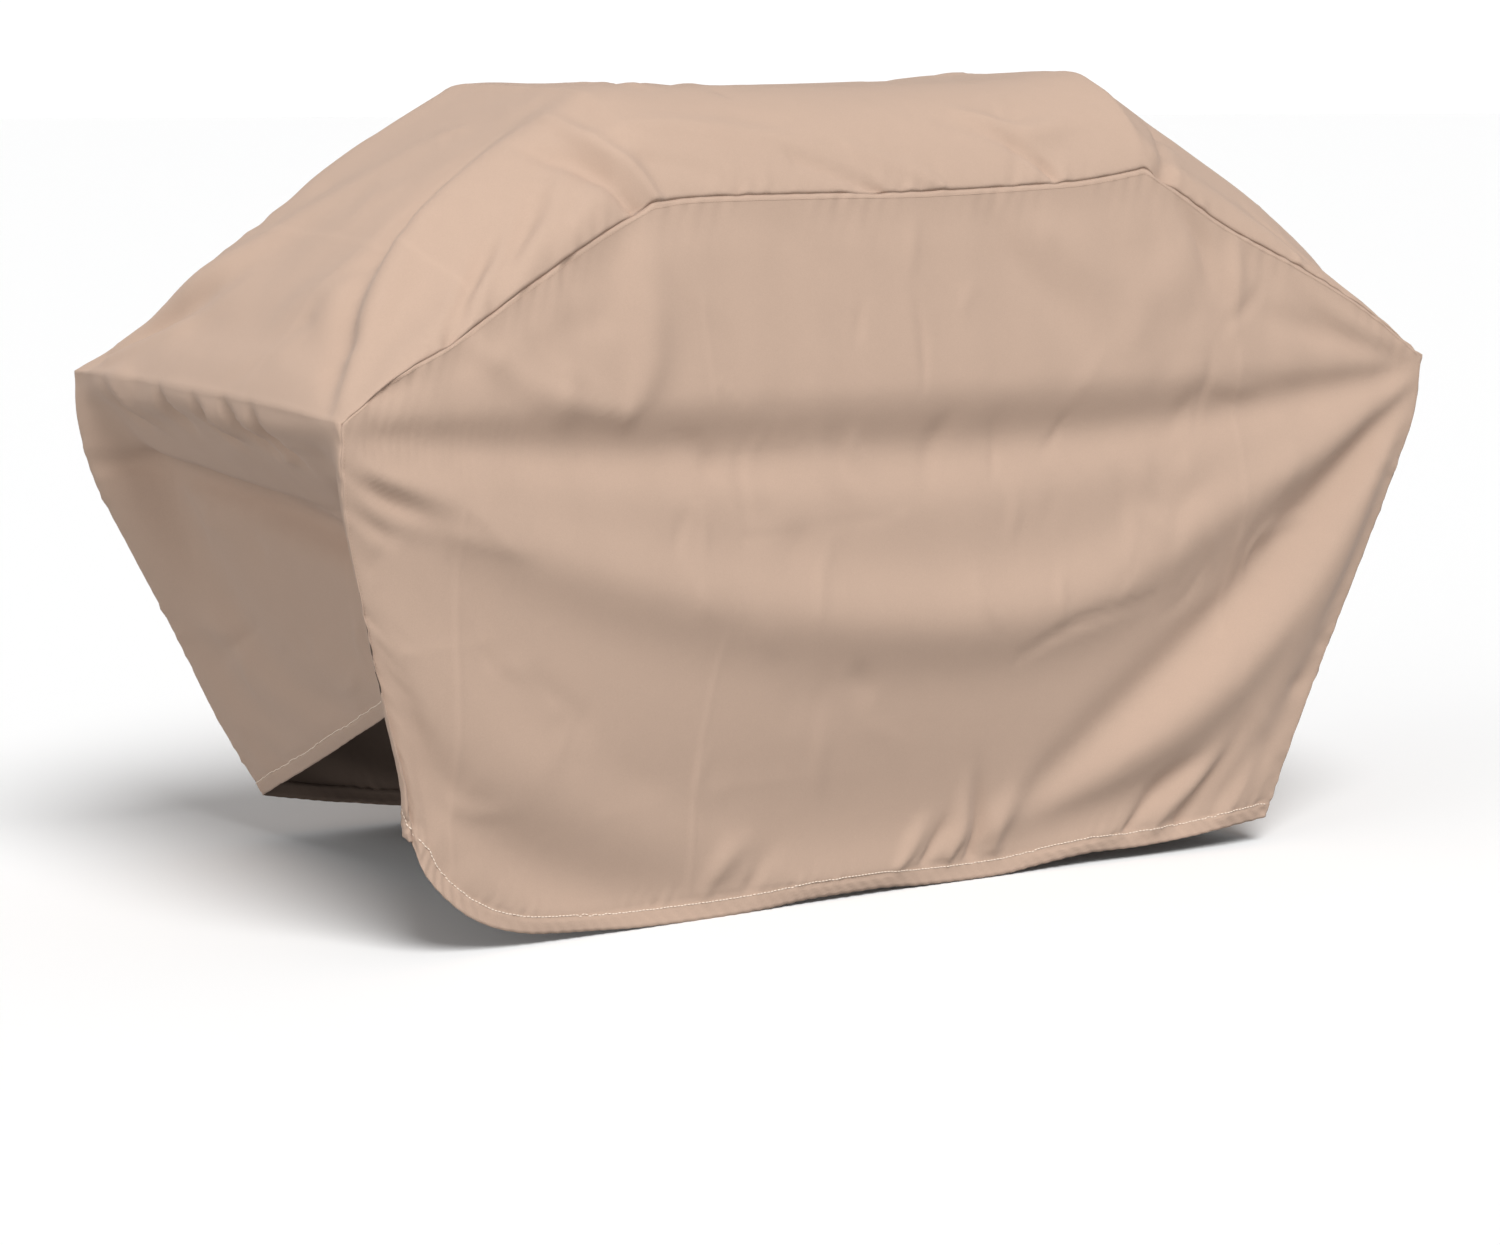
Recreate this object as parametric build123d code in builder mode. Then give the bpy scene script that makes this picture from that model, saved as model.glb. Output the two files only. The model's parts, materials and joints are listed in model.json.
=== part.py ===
# Fitted fabric cover for a cart grill with side shelves, in the shape that it hangs in over the grill.
#
# Three cut pieces of woven cloth are sewn together: a front panel, a back panel, and one long wrap that
# runs up the left end, over the hood and down the right end. The bottom edge is turned up and stitched.
#
# Frame: millimetres, +X along the grill's width, -Y towards the person cooking, +Z up. The origin is at
# the level of the lowest hem, under the middle of the cover.
from build123d import *
from math import asin, atan2, cos, degrees, hypot, sin
import os

# driving dimensions
width = 1500  # over the side shelves
depth = 700  # over the front and back panels
shelf_height = 590  # shelf edge above the lowest hem
top_height = 940  # top of the hood above the lowest hem
hem_width = 1010  # over the two ends at the lowest hem
hood_width = 700  # between the folds at the two sides of the hood
hood_flat = 240  # flat part of the hood's top, front to back
hood_radius = 195  # rounding between the hood's top and the panel seams
seam_depth = 600  # from the front seam to the back seam across the hood
shelf_crown = 2  # a shelf edge stands this much higher between its corners
cloth = 3  # wall that stands in for cloth about 0.5 thick

# how the bottom edge hangs
lobe_foot = 655  # the front panel's left side meets the hem level this far from the middle
lobe_radius = 150  # rounding of the front panel's lower left corner
back_corner_lift = 50  # height of the back left corner
back_lift_start = 250  # the back hem starts to climb here
left_front_lift = 317  # height of the left end's hem where it meets the front panel

# hems and stitching
hem_height = 22
hem_layer = 1.5  # the turned-up layer inside the edge
hem_stitch = 19  # from the edge to the stitch line
seam_stitch = 6  # from a seam to the stitch line beside it
corner_gap = 8  # hems and stitching stop this far from a corner
thread_width = 1.2
thread_rise = 0.6  # how far a thread stands off the cloth

half_width = width / 2
half_depth = depth / 2
half_hem = hem_width / 2
half_hood = hood_width / 2
half_flat = hood_flat / 2
half_seam = seam_depth / 2
wrap_reach = half_depth - cloth  # the wrap lies between the two panels

# the hood's rounding starts at the flat top and stops at the seam
hood_sweep = asin((half_seam - half_flat) / hood_radius)
arc_height = top_height - hood_radius
seam_height = arc_height + hood_radius * cos(hood_sweep)

# the upper face of a panel leans inwards from the shelf edge to the seam
lean_run = half_depth - half_seam
lean_rise = seam_height - shelf_height
upper_length = hypot(lean_run, lean_rise)

# an end slopes inwards from the shelf edge to the hem
end_run = half_width - half_hem
end_slant = hypot(end_run, shelf_height) / shelf_height

# the front panel's left side is steeper, because its corner hangs forward as a lobe
lobe_angle = atan2(half_width - lobe_foot, shelf_height)
lobe_center = lobe_foot - lobe_radius * (1 - sin(lobe_angle)) / cos(lobe_angle)

os.makedirs("parts", exist_ok=True)


def lower_plane(side):
    # outer face below the shelf edge of the front (-1) or back (+1) panel, seen from outside, local Y up
    return Plane(origin=(0, side * half_depth, 0), x_dir=(-side, 0, 0), z_dir=(0, side, 0))


def upper_plane(side):
    # outer face above the shelf edge of the front (-1) or back (+1) panel, seen from outside
    shelf_edge = (0, side * half_depth, shelf_height)
    return Plane(origin=shelf_edge, x_dir=(-side, 0, 0), z_dir=(0, side * lean_rise, lean_run))


def end_plane(side):
    # outer face of the left (-1) or right (+1) end, seen from outside, local Y up and 0 at the shelf edge
    shelf_edge = (side * half_width, 0, shelf_height)
    return Plane(origin=shelf_edge, x_dir=(0, side, 0), z_dir=(side * shelf_height, 0, -end_run))


def side_at(height):
    # distance of an end's outer face from the middle
    return half_hem + end_run * height / shelf_height


def lobe_side_at(height):
    # distance of the front panel's left side from the middle, above its rounded corner
    return lobe_foot + (half_width - lobe_foot) * height / shelf_height


def down_end(height):
    # local Y on an end plane for a height above the lowest hem
    return (height - shelf_height) * end_slant


def front_hem_line(inset, stop):
    # the front panel's bottom edge, from the right corner round the lobe's corner
    Line((half_hem - stop, inset), (-lobe_center, inset))
    return CenterArc(
        center=(-lobe_center, lobe_radius),
        radius=lobe_radius - inset,
        start_angle=270,
        arc_size=degrees(lobe_angle) - 90,
    )


def back_hem_line(inset, stop):
    # the back panel's bottom edge, level and then climbing to the lifted corner
    corner = side_at(back_corner_lift) - stop
    Polyline((-half_hem + stop, inset), (back_lift_start, inset), (corner, back_corner_lift + inset))


def end_hem_line(side, inset):
    # an end's bottom edge, climbing forwards on the left and level on the right
    back_lift, front_lift = (back_corner_lift, left_front_lift) if side < 0 else (0, 0)
    reach = wrap_reach - corner_gap
    climb = (front_lift - back_lift) * end_slant / (2 * wrap_reach)
    middle = down_end((front_lift + back_lift) / 2) + inset * hypot(1, climb)
    Line((side * reach, middle - climb * reach), (-side * reach, middle + climb * reach))


def hood_curve(layer):
    # the hood's rounded front, flat top and rounded back, this far inside its outer face
    bend = hood_radius - layer
    front = CenterArc((-half_flat, arc_height), bend, 90, degrees(hood_sweep))
    Line((-half_flat, arc_height + bend), (half_flat, arc_height + bend))
    back = CenterArc((half_flat, arc_height), bend, 90, -degrees(hood_sweep))
    return front @ 1, back @ 1


def shelf_curve(layer):
    # the nearly straight shelf edge, in three parts that match the hood's curve
    height = shelf_height - layer
    crown = height + shelf_crown
    third = wrap_reach * half_flat / half_seam
    ends = (-wrap_reach, height), (wrap_reach, height)
    Polyline(ends[0], (-third, crown), (third, crown), ends[1])
    return ends


def cloth_outline(curve):
    # the closed outline between a curve and the same curve one wall further in
    for outside, inside in zip(curve(0), curve(cloth)):
        Line(outside, inside)


with BuildPart() as front_panel:
    with BuildSketch(lower_plane(-1)):
        with BuildLine():
            lobe = front_hem_line(0, 0)
            Polyline(lobe @ 1, (-half_width, shelf_height), (half_width, shelf_height), (half_hem, 0))
        make_face()
    extrude(amount=-cloth)
    with BuildSketch(upper_plane(-1)):
        with BuildLine():
            Polyline(
                (-half_width, 0),
                (half_width, 0),
                (half_hood, upper_length),
                (-half_hood, upper_length),
                close=True,
            )
        make_face()
    extrude(amount=-cloth)
front_panel.part.label = "front_panel"
export_step(front_panel.part, "parts/front_panel.step")

with BuildPart() as back_panel:
    with BuildSketch(lower_plane(1)):
        with BuildLine():
            back_hem_line(0, 0)
            Polyline(
                (side_at(back_corner_lift), back_corner_lift),
                (half_width, shelf_height),
                (-half_width, shelf_height),
                (-half_hem, 0),
            )
        make_face()
    extrude(amount=-cloth)
    with BuildSketch(upper_plane(1)):
        with BuildLine():
            Polyline(
                (-half_width, 0),
                (half_width, 0),
                (half_hood, upper_length),
                (-half_hood, upper_length),
                close=True,
            )
        make_face()
    extrude(amount=-cloth)
back_panel.part.label = "back_panel"
export_step(back_panel.part, "parts/back_panel.step")

with BuildPart() as wrap_panel:
    # over the hood
    with BuildSketch(Plane.YZ.offset(-half_hood)):
        with BuildLine():
            cloth_outline(hood_curve)
        make_face()
    extrude(amount=hood_width)
    # the slopes from the hood down to the shelf edges
    for side in (-1, 1):
        with BuildSketch(Plane.YZ.offset(side * half_width)):
            with BuildLine():
                cloth_outline(shelf_curve)
            make_face()
        with BuildSketch(Plane.YZ.offset(side * half_hood)):
            with BuildLine():
                cloth_outline(hood_curve)
            make_face()
        loft(ruled=True)
    # the ends from the shelf edges down to the hem
    for side, back_lift, front_lift in ((-1, back_corner_lift, left_front_lift), (1, 0, 0)):
        with BuildSketch(end_plane(side)):
            with BuildLine():
                Polyline(
                    (side * wrap_reach, 0),
                    (side * wrap_reach, down_end(back_lift)),
                    (-side * wrap_reach, down_end(front_lift)),
                    (-side * wrap_reach, 0),
                    close=True,
                )
            make_face()
        extrude(amount=-cloth)
    add(front_panel.part, mode=Mode.SUBTRACT)
    add(back_panel.part, mode=Mode.SUBTRACT)
wrap_panel.part.label = "wrap_panel"
export_step(wrap_panel.part, "parts/wrap_panel.step")

# turned-up layers inside the bottom edge
with BuildPart() as front_hem:
    with BuildSketch(lower_plane(-1).offset(-cloth)):
        with BuildLine():
            front_hem_line(hem_height / 2, corner_gap)
        trace(line_width=hem_height)
    extrude(amount=-hem_layer)
front_hem.part.label = "front_hem"
export_step(front_hem.part, "parts/front_hem.step")

with BuildPart() as back_hem:
    with BuildSketch(lower_plane(1).offset(-cloth)):
        with BuildLine():
            back_hem_line(hem_height / 2, corner_gap)
        trace(line_width=hem_height)
    extrude(amount=-hem_layer)
back_hem.part.label = "back_hem"
export_step(back_hem.part, "parts/back_hem.step")

with BuildPart() as left_hem:
    with BuildSketch(end_plane(-1).offset(-cloth)):
        with BuildLine():
            end_hem_line(-1, hem_height / 2)
        trace(line_width=hem_height)
    extrude(amount=-hem_layer)
left_hem.part.label = "left_hem"
export_step(left_hem.part, "parts/left_hem.step")

with BuildPart() as right_hem:
    with BuildSketch(end_plane(1).offset(-cloth)):
        with BuildLine():
            end_hem_line(1, hem_height / 2)
        trace(line_width=hem_height)
    extrude(amount=-hem_layer)
right_hem.part.label = "right_hem"
export_step(right_hem.part, "parts/right_hem.step")

# the thread that holds each hem, on the outside
with BuildPart() as front_hem_thread:
    with BuildSketch(lower_plane(-1)):
        with BuildLine():
            front_hem_line(hem_stitch, corner_gap)
        trace(line_width=thread_width)
    extrude(amount=thread_rise)
front_hem_thread.part.label = "front_hem_thread"
export_step(front_hem_thread.part, "parts/front_hem_thread.step")

with BuildPart() as back_hem_thread:
    with BuildSketch(lower_plane(1)):
        with BuildLine():
            back_hem_line(hem_stitch, corner_gap)
        trace(line_width=thread_width)
    extrude(amount=thread_rise)
back_hem_thread.part.label = "back_hem_thread"
export_step(back_hem_thread.part, "parts/back_hem_thread.step")

with BuildPart() as left_hem_thread:
    with BuildSketch(end_plane(-1)):
        with BuildLine():
            end_hem_line(-1, hem_stitch)
        trace(line_width=thread_width)
    extrude(amount=thread_rise)
left_hem_thread.part.label = "left_hem_thread"
export_step(left_hem_thread.part, "parts/left_hem_thread.step")

with BuildPart() as right_hem_thread:
    with BuildSketch(end_plane(1)):
        with BuildLine():
            end_hem_line(1, hem_stitch)
        trace(line_width=thread_width)
    extrude(amount=thread_rise)
right_hem_thread.part.label = "right_hem_thread"
export_step(right_hem_thread.part, "parts/right_hem_thread.step")

# the thread beside the seams that join each panel to the wrap
side_inset = seam_stitch * end_slant
flank_inset = seam_stitch * upper_length / hypot(half_width - half_hood, upper_length)
lobe_inset = seam_stitch / cos(lobe_angle)
seam_stop = shelf_height - corner_gap
lobe_top = lobe_radius * (1 + sin(lobe_angle))


def upper_seam_line():
    # up one flank of the upper face, across under the hood's seam and down the other flank
    foot = half_width - seam_stitch - corner_gap
    shoulder = half_hood - flank_inset
    top = upper_length - seam_stitch
    rise = corner_gap * upper_length / (half_width - half_hood)
    Polyline((-foot, rise), (-shoulder, top), (shoulder, top), (foot, rise))


with BuildPart() as front_seam_thread:
    with BuildSketch(lower_plane(-1)):
        with BuildLine():
            Line(
                (side_at(hem_height) - side_inset, hem_height),
                (side_at(seam_stop) - side_inset, seam_stop),
            )
            Line(
                (lobe_inset - lobe_side_at(lobe_top), lobe_top),
                (lobe_inset - lobe_side_at(seam_stop), seam_stop),
            )
        trace(line_width=thread_width)
    extrude(amount=thread_rise)
    with BuildSketch(upper_plane(-1)):
        with BuildLine():
            upper_seam_line()
        trace(line_width=thread_width)
    extrude(amount=thread_rise)
front_seam_thread.part.label = "front_seam_thread"
export_step(front_seam_thread.part, "parts/front_seam_thread.step")

with BuildPart() as back_seam_thread:
    with BuildSketch(lower_plane(1)):
        with BuildLine():
            Line(
                (side_inset - side_at(hem_height), hem_height),
                (side_inset - side_at(seam_stop), seam_stop),
            )
            Line(
                (side_at(back_corner_lift + hem_height) - side_inset, back_corner_lift + hem_height),
                (side_at(seam_stop) - side_inset, seam_stop),
            )
        trace(line_width=thread_width)
    extrude(amount=thread_rise)
    with BuildSketch(upper_plane(1)):
        with BuildLine():
            upper_seam_line()
        trace(line_width=thread_width)
    extrude(amount=thread_rise)
back_seam_thread.part.label = "back_seam_thread"
export_step(back_seam_thread.part, "parts/back_seam_thread.step")
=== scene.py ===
import bpy
import json
import math
import numpy as np
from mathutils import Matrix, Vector
from mathutils.bvhtree import BVHTree

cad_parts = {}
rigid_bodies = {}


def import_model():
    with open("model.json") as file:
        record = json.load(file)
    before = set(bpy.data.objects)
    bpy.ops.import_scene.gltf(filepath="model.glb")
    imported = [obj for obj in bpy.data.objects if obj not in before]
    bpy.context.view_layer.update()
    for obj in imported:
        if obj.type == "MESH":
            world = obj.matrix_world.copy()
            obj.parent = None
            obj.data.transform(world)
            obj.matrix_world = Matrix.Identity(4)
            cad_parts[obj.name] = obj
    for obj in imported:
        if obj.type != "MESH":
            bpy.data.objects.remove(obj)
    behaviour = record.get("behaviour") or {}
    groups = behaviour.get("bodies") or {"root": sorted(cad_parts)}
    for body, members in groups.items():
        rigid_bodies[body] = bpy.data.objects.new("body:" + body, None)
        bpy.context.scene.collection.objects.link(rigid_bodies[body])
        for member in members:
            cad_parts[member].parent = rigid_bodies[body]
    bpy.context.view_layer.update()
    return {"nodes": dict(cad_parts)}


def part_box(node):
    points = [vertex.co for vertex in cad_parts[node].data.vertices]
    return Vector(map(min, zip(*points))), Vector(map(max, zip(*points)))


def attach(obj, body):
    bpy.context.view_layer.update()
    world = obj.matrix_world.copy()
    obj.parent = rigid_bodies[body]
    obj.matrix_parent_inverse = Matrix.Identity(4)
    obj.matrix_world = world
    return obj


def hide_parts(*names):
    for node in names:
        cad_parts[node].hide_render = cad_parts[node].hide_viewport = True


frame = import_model()
print("frame loaded:", len(frame["nodes"]), "nodes")

scene = bpy.context.scene
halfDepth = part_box("back_panel")[1][1]
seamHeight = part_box("front_panel")[1][2]

# camera and lights

cameraPlan = dict(
    place=(-2.462, -3.793, 0.923),
    heading=32.7,       # degrees from +Y towards +X
    dip=8.14,           # degrees below level
    lens=88.2,
)

lightPlan = dict(
    key=dict(turn=(38, 0, -12), strength=2.9, softness=32),       # degrees
    fill=dict(turn=(80, 0, -84), strength=0.95, softness=60),
    sky=0.30,
    ground=0.42,        # light that comes up from under the horizon
    horizon=1.05,
    floorReach=150,
    floorColour=(0.95, 0.95, 0.95),
)


def makeCamera(plan):
    data = bpy.data.cameras.new("camera")
    data.lens = plan["lens"]
    data.sensor_width = 36
    data.clip_end = 300
    camera = bpy.data.objects.new("camera", data)
    scene.collection.objects.link(camera)
    camera.location = plan["place"]
    camera.rotation_euler = (math.radians(90 - plan["dip"]), 0, -math.radians(plan["heading"]))
    scene.camera = camera


def makeLights(plan):
    for name in ("key", "fill"):
        data = bpy.data.lights.new(name, "SUN")
        data.energy = plan[name]["strength"]
        data.angle = math.radians(plan[name]["softness"])
        lamp = bpy.data.objects.new(name, data)
        scene.collection.objects.link(lamp)
        lamp.rotation_euler = [math.radians(a) for a in plan[name]["turn"]]
    world = bpy.data.worlds.new("studio")
    world.use_nodes = True
    tree = world.node_tree
    # an even sky over a darker ground, with a bright thin band where the floor ends
    direction = tree.nodes.new("ShaderNodeTexCoord")
    split = tree.nodes.new("ShaderNodeSeparateXYZ")
    lower = tree.nodes.new("ShaderNodeMath")
    lower.operation = "MINIMUM"
    tree.links.new(direction.outputs["Generated"], split.inputs[0])
    below = (-0.10, -0.02, plan["ground"], plan["horizon"])
    above = (0.05, 0.12, plan["horizon"], plan["sky"])
    for socket, ranges in enumerate((below, above)):
        band = tree.nodes.new("ShaderNodeMapRange")
        for name, value in zip(("From Min", "From Max", "To Min", "To Max"), ranges):
            band.inputs[name].default_value = value
        tree.links.new(split.outputs["Z"], band.inputs["Value"])
        tree.links.new(band.outputs["Result"], lower.inputs[socket])
    tree.links.new(lower.outputs[0], tree.nodes["Background"].inputs["Strength"])
    tree.nodes["Background"].inputs["Color"].default_value = (1, 1, 1, 1)
    scene.world = world
    scene.view_settings.view_transform = "Standard"


def makeFloor(plan):
    mesh = bpy.data.meshes.new("floor")
    reach = plan["floorReach"]
    corners = [(-reach, -reach, 0), (reach, -reach, 0), (reach, reach, 0), (-reach, reach, 0)]
    mesh.from_pydata(corners, [], [(0, 1, 2, 3)])
    floor = bpy.data.objects.new("floor", mesh)
    scene.collection.objects.link(floor)
    paint = bpy.data.materials.new("paleFloor")
    paint.use_nodes = True
    shader = paint.node_tree.nodes["Principled BSDF"]
    shader.inputs["Base Color"].default_value = (*plan["floorColour"], 1)
    shader.inputs["Roughness"].default_value = 0.8
    mesh.materials.append(paint)
    floor.visible_diffuse = False       # the ground light above stands for its bounce


makeCamera(cameraPlan)
makeLights(lightPlan)
makeFloor(lightPlan)
print("camera and lights made")

# the sewn edges of the hanging cover

# all in metres; each list holds only the points that the edge needs, from one end to the other
edgePlan = dict(
    frontLeftSeam=[  # from the lobe's hem up to the shelf corner
        (-0.677, -0.342, 0.130), (-0.684, -0.344, 0.190), (-0.709, -0.345, 0.289),
        (-0.731, -0.347, 0.376), (-0.753, -0.350, 0.473), (-0.760, -0.352, 0.540), (-0.757, -0.350, 0.586)],
    frontRightSeam=[  # from the hem up to the shelf corner
        (0.522, -0.342, 0.032), (0.547, -0.343, 0.090), (0.586, -0.344, 0.176), (0.632, -0.346, 0.273),
        (0.679, -0.348, 0.372), (0.718, -0.350, 0.458), (0.747, -0.351, 0.530), (0.757, -0.350, 0.600)],
    backLeftSeam=[
        (-0.529, 0.350, 0.056), (-0.585, 0.351, 0.150), (-0.636, 0.352, 0.254), (-0.699, 0.353, 0.376),
        (-0.743, 0.354, 0.464), (-0.763, 0.354, 0.540), (-0.765, 0.352, 0.598)],
    backRightSeam=[
        (0.525, 0.348, 0.030), (0.586, 0.350, 0.170), (0.640, 0.352, 0.290), (0.700, 0.353, 0.410),
        (0.747, 0.354, 0.510), (0.757, 0.352, 0.598)],
    frontLeftSlope=[  # from the shelf corner to the hood corner
        (-0.757, -0.350, 0.586), (-0.680, -0.342, 0.635), (-0.612, -0.333, 0.666), (-0.531, -0.322, 0.712),
        (-0.431, -0.309, 0.766), (-0.348, -0.298, 0.806)],
    frontRightSlope=[
        (0.757, -0.350, 0.600), (0.670, -0.339, 0.662), (0.574, -0.326, 0.715), (0.467, -0.312, 0.766),
        (0.394, -0.302, 0.812), (0.350, -0.296, 0.838)],
    backLeftSlope=[
        (-0.765, 0.352, 0.598), (-0.680, 0.343, 0.642), (-0.531, 0.324, 0.718), (-0.350, 0.300, 0.822)],
    backRightSlope=[
        (0.757, 0.352, 0.598), (0.670, 0.341, 0.648), (0.531, 0.324, 0.722), (0.350, 0.300, 0.826)],
    frontTop=[  # along the hood, left to right
        (-0.348, -0.298, 0.806), (-0.287, -0.300, 0.813), (-0.120, -0.302, 0.815), (0.018, -0.302, 0.815),
        (0.182, -0.301, 0.821), (0.262, -0.300, 0.826), (0.350, -0.296, 0.838)],
    backTop=[
        (-0.350, 0.300, 0.822), (-0.120, 0.303, 0.818), (0.120, 0.303, 0.820), (0.350, 0.300, 0.826)],
    frontHem=[  # left to right
        (-0.677, -0.342, 0.130), (-0.664, -0.344, 0.096), (-0.640, -0.345, 0.066), (-0.605, -0.346, 0.039),
        (-0.560, -0.346, 0.020), (-0.500, -0.346, 0.009), (-0.380, -0.346, 0.004), (-0.248, -0.345, 0.001),
        (-0.111, -0.344, 0.001), (0.018, -0.344, 0.002), (0.195, -0.344, 0.008), (0.396, -0.344, 0.021),
        (0.522, -0.342, 0.032)],
    backHem=[
        (-0.529, 0.350, 0.056), (-0.420, 0.353, 0.036), (-0.290, 0.355, 0.018), (-0.050, 0.355, 0.004),
        (0.250, 0.353, 0.008), (0.420, 0.351, 0.018), (0.525, 0.348, 0.030)],
    leftHem=[  # front to back
        (-0.677, -0.342, 0.130), (-0.678, -0.322, 0.142), (-0.655, -0.304, 0.182), (-0.632, -0.280, 0.218),
        (-0.610, -0.240, 0.246),
        (-0.596, -0.187, 0.254), (-0.578, -0.060, 0.210), (-0.556, 0.120, 0.141), (-0.529, 0.350, 0.056)],
    rightHem=[
        (0.522, -0.342, 0.032), (0.512, -0.230, 0.042), (0.498, -0.080, 0.036), (0.492, 0.080, 0.030),
        (0.506, 0.230, 0.038), (0.525, 0.348, 0.030)],
)

# cells along each part of the sewing pattern, in the first form of the cloth
formCells = dict(fall=56, slope=40, hood=56, depth=52)

# lines of the finished cloth, closer together at the hem and beside the seams; steps in metres
finePlan = dict(
    hemSteps=(0, 0.004, 0.008, 0.012, 0.0155, 0.019, 0.0225, 0.027, 0.032, 0.038),
    seamSteps=(0, 0.0032, 0.0058, 0.0090, 0.0130),
    fall=74, slope=104, hood=150, depth=72,
)


def curveThrough(points, count):
    # a smooth curve through given points, sampled evenly along its length
    p = np.array(points, float)
    p = np.vstack([2 * p[0] - p[1], p, 2 * p[-1] - p[-2]])
    fine = []
    for a, b, c, d in zip(p[:-3], p[1:-2], p[2:-1], p[3:]):
        t = np.linspace(0, 1, 24, endpoint=False)[:, None]
        bend, twist = 2 * a - 5 * b + 4 * c - d, 3 * b - a - 3 * c + d
        fine.append(0.5 * (2 * b + (c - a) * t + bend * t**2 + twist * t**3))
    fine = np.vstack(fine + [p[-2:-1]])
    run = np.concatenate([[0], np.cumsum(np.linalg.norm(np.diff(fine, axis=0), axis=1))])
    want = np.linspace(0, run[-1], count + 1)
    return np.stack([np.interp(want, run, fine[:, k]) for k in range(fine.shape[1])], axis=1)


def coonsPatch(low, high, left, right):
    # low and high run left to right, left and right run low to high; rows go from low to high
    rows, columns = len(left), len(low)
    r = np.linspace(0, 1, rows)[:, None, None]
    c = np.linspace(0, 1, columns)[None, :, None]
    across = (1 - r) * low[None] + r * high[None]
    along = (1 - c) * left[:, None] + c * right[:, None]
    corners = (1 - r) * ((1 - c) * low[0] + c * low[-1]) + r * ((1 - c) * high[0] + c * high[-1])
    return across + along - corners


def bump(x, centre, width):
    return np.exp(-((x - centre) / width) ** 2)


def smoothStep(x, a, b):
    t = np.clip((x - a) / (b - a), 0, 1)
    return t * t * (3 - 2 * t)


edges = {}
for edgeName, count in (
    ("frontLeftSeam", "fall"), ("frontRightSeam", "fall"),
    ("backLeftSeam", "fall"), ("backRightSeam", "fall"),
    ("frontLeftSlope", "slope"), ("frontRightSlope", "slope"),
    ("backLeftSlope", "slope"), ("backRightSlope", "slope"),
    ("frontTop", "hood"), ("backTop", "hood"), ("leftHem", "depth"), ("rightHem", "depth"),
):
    edges[edgeName] = curveThrough(edgePlan[edgeName], formCells[count])
topCells = 2 * formCells["slope"] + formCells["hood"]
edges["frontHem"] = curveThrough(edgePlan["frontHem"], topCells)
edges["backHem"] = curveThrough(edgePlan["backHem"], topCells)


def panelTop(side):
    # the whole sewn top edge of a panel, from the left shelf corner to the right one
    return np.vstack([
        edges[side + "LeftSlope"][:-1],
        edges[side + "Top"][:-1],
        edges[side + "RightSlope"][::-1],
    ])


# the form of each cut piece

formPlan = dict(
    hoodRadius=0.195,
    hoodFlat=0.240,
    shelfHeight=0.59,
    lean=0.05,          # a panel leans back this much between the shelf and the hood seam
    # how fast each slope takes the hood's crown, from shelf to hood
    crown=((0, 0), (0.06, 0.27), (0.20, 0.58), (0.42, 0.85), (0.70, 0.97), (1, 1)),
    leftValley=0.072,   # the left end falls in this far along its long diagonal valley
    leftTuck=0.058,     # and this far behind the lobe
    rightValley=0.022,
)


def hoodProfile(u):
    # offsets across the hood at fractions u of its cloth: distance from the middle, and height over the seam
    radius, flat = formPlan["hoodRadius"], formPlan["hoodFlat"]
    sweep = math.asin((0.3 - flat / 2) / radius)
    length = flat / 2 + radius * sweep
    s = np.abs(u - 0.5) * 2 * length
    turn = np.clip(s - flat / 2, 0, None) / radius
    reach = np.minimum(s, flat / 2) + radius * np.sin(turn)
    rise = radius * np.cos(turn) - radius * math.cos(sweep)
    return np.sign(u - 0.5) * reach, rise


def panelForm(side):
    sign = -1 if side == "front" else 1
    left, right = edges[side + "LeftSeam"], edges[side + "RightSeam"]
    grid = coonsPatch(edges[side + "Hem"], panelTop(side), left, right)
    # the cloth hangs straight to the shelf edge and leans back only above it
    z = grid[..., 2]
    shelf = formPlan["shelfHeight"]
    hang = sign * (halfDepth - formPlan["lean"] * np.clip(z - shelf, 0, None) / (seamHeight - shelf))
    c = np.linspace(0, 1, grid.shape[1])[None, :]
    r = np.linspace(0, 1, grid.shape[0])[:, None]
    inside = smoothStep(c, 0, 0.06) * smoothStep(1 - c, 0, 0.06) * smoothStep(1 - r, 0, 0.08)
    grid[..., 1] += (hang - grid[..., 1]) * inside
    return grid


def hoodForm(front, back, strength):
    # cloth from the front seam to the back seam, crowned by the hood with the given strength
    u = np.linspace(0, 1, formCells["depth"] + 1)
    reach, rise = hoodProfile(u)
    bunched = reach / (2 * np.abs(reach[0])) + 0.5
    share = u[None] + (bunched - u)[None] * strength[:, None]
    grid = front[:, None] + (back - front)[:, None] * share[..., None]
    grid[..., 2] += rise[None] * strength[:, None]
    return grid


def dentEnd(grid, valley, tuck, frontPlace, backPlace, sign):
    v = 1 - np.linspace(0, 1, grid.shape[0])[:, None]      # 0 at the shelf edge, 1 at the hem
    u = np.linspace(0, 1, grid.shape[1])[None, :]          # 0 at the front seam, 1 at the back seam
    ease = smoothStep(u, 0, 0.1) * smoothStep(1 - u, 0, 0.12)
    place = frontPlace + (backPlace - frontPlace) * u
    above = np.clip((place - v) / place, 0, 1)
    below = np.clip((v - place) / (1 - place), 0, 1)
    fallIn = valley * np.where(v < place, (1 - above) ** 1.3, (1 - below) ** 1.7)
    behindLobe = tuck * bump(u, 0.13, 0.10) * bump(v, 0.52, 0.26)
    grid[..., 0] += sign * (fallIn + behindLobe) * ease


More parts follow.
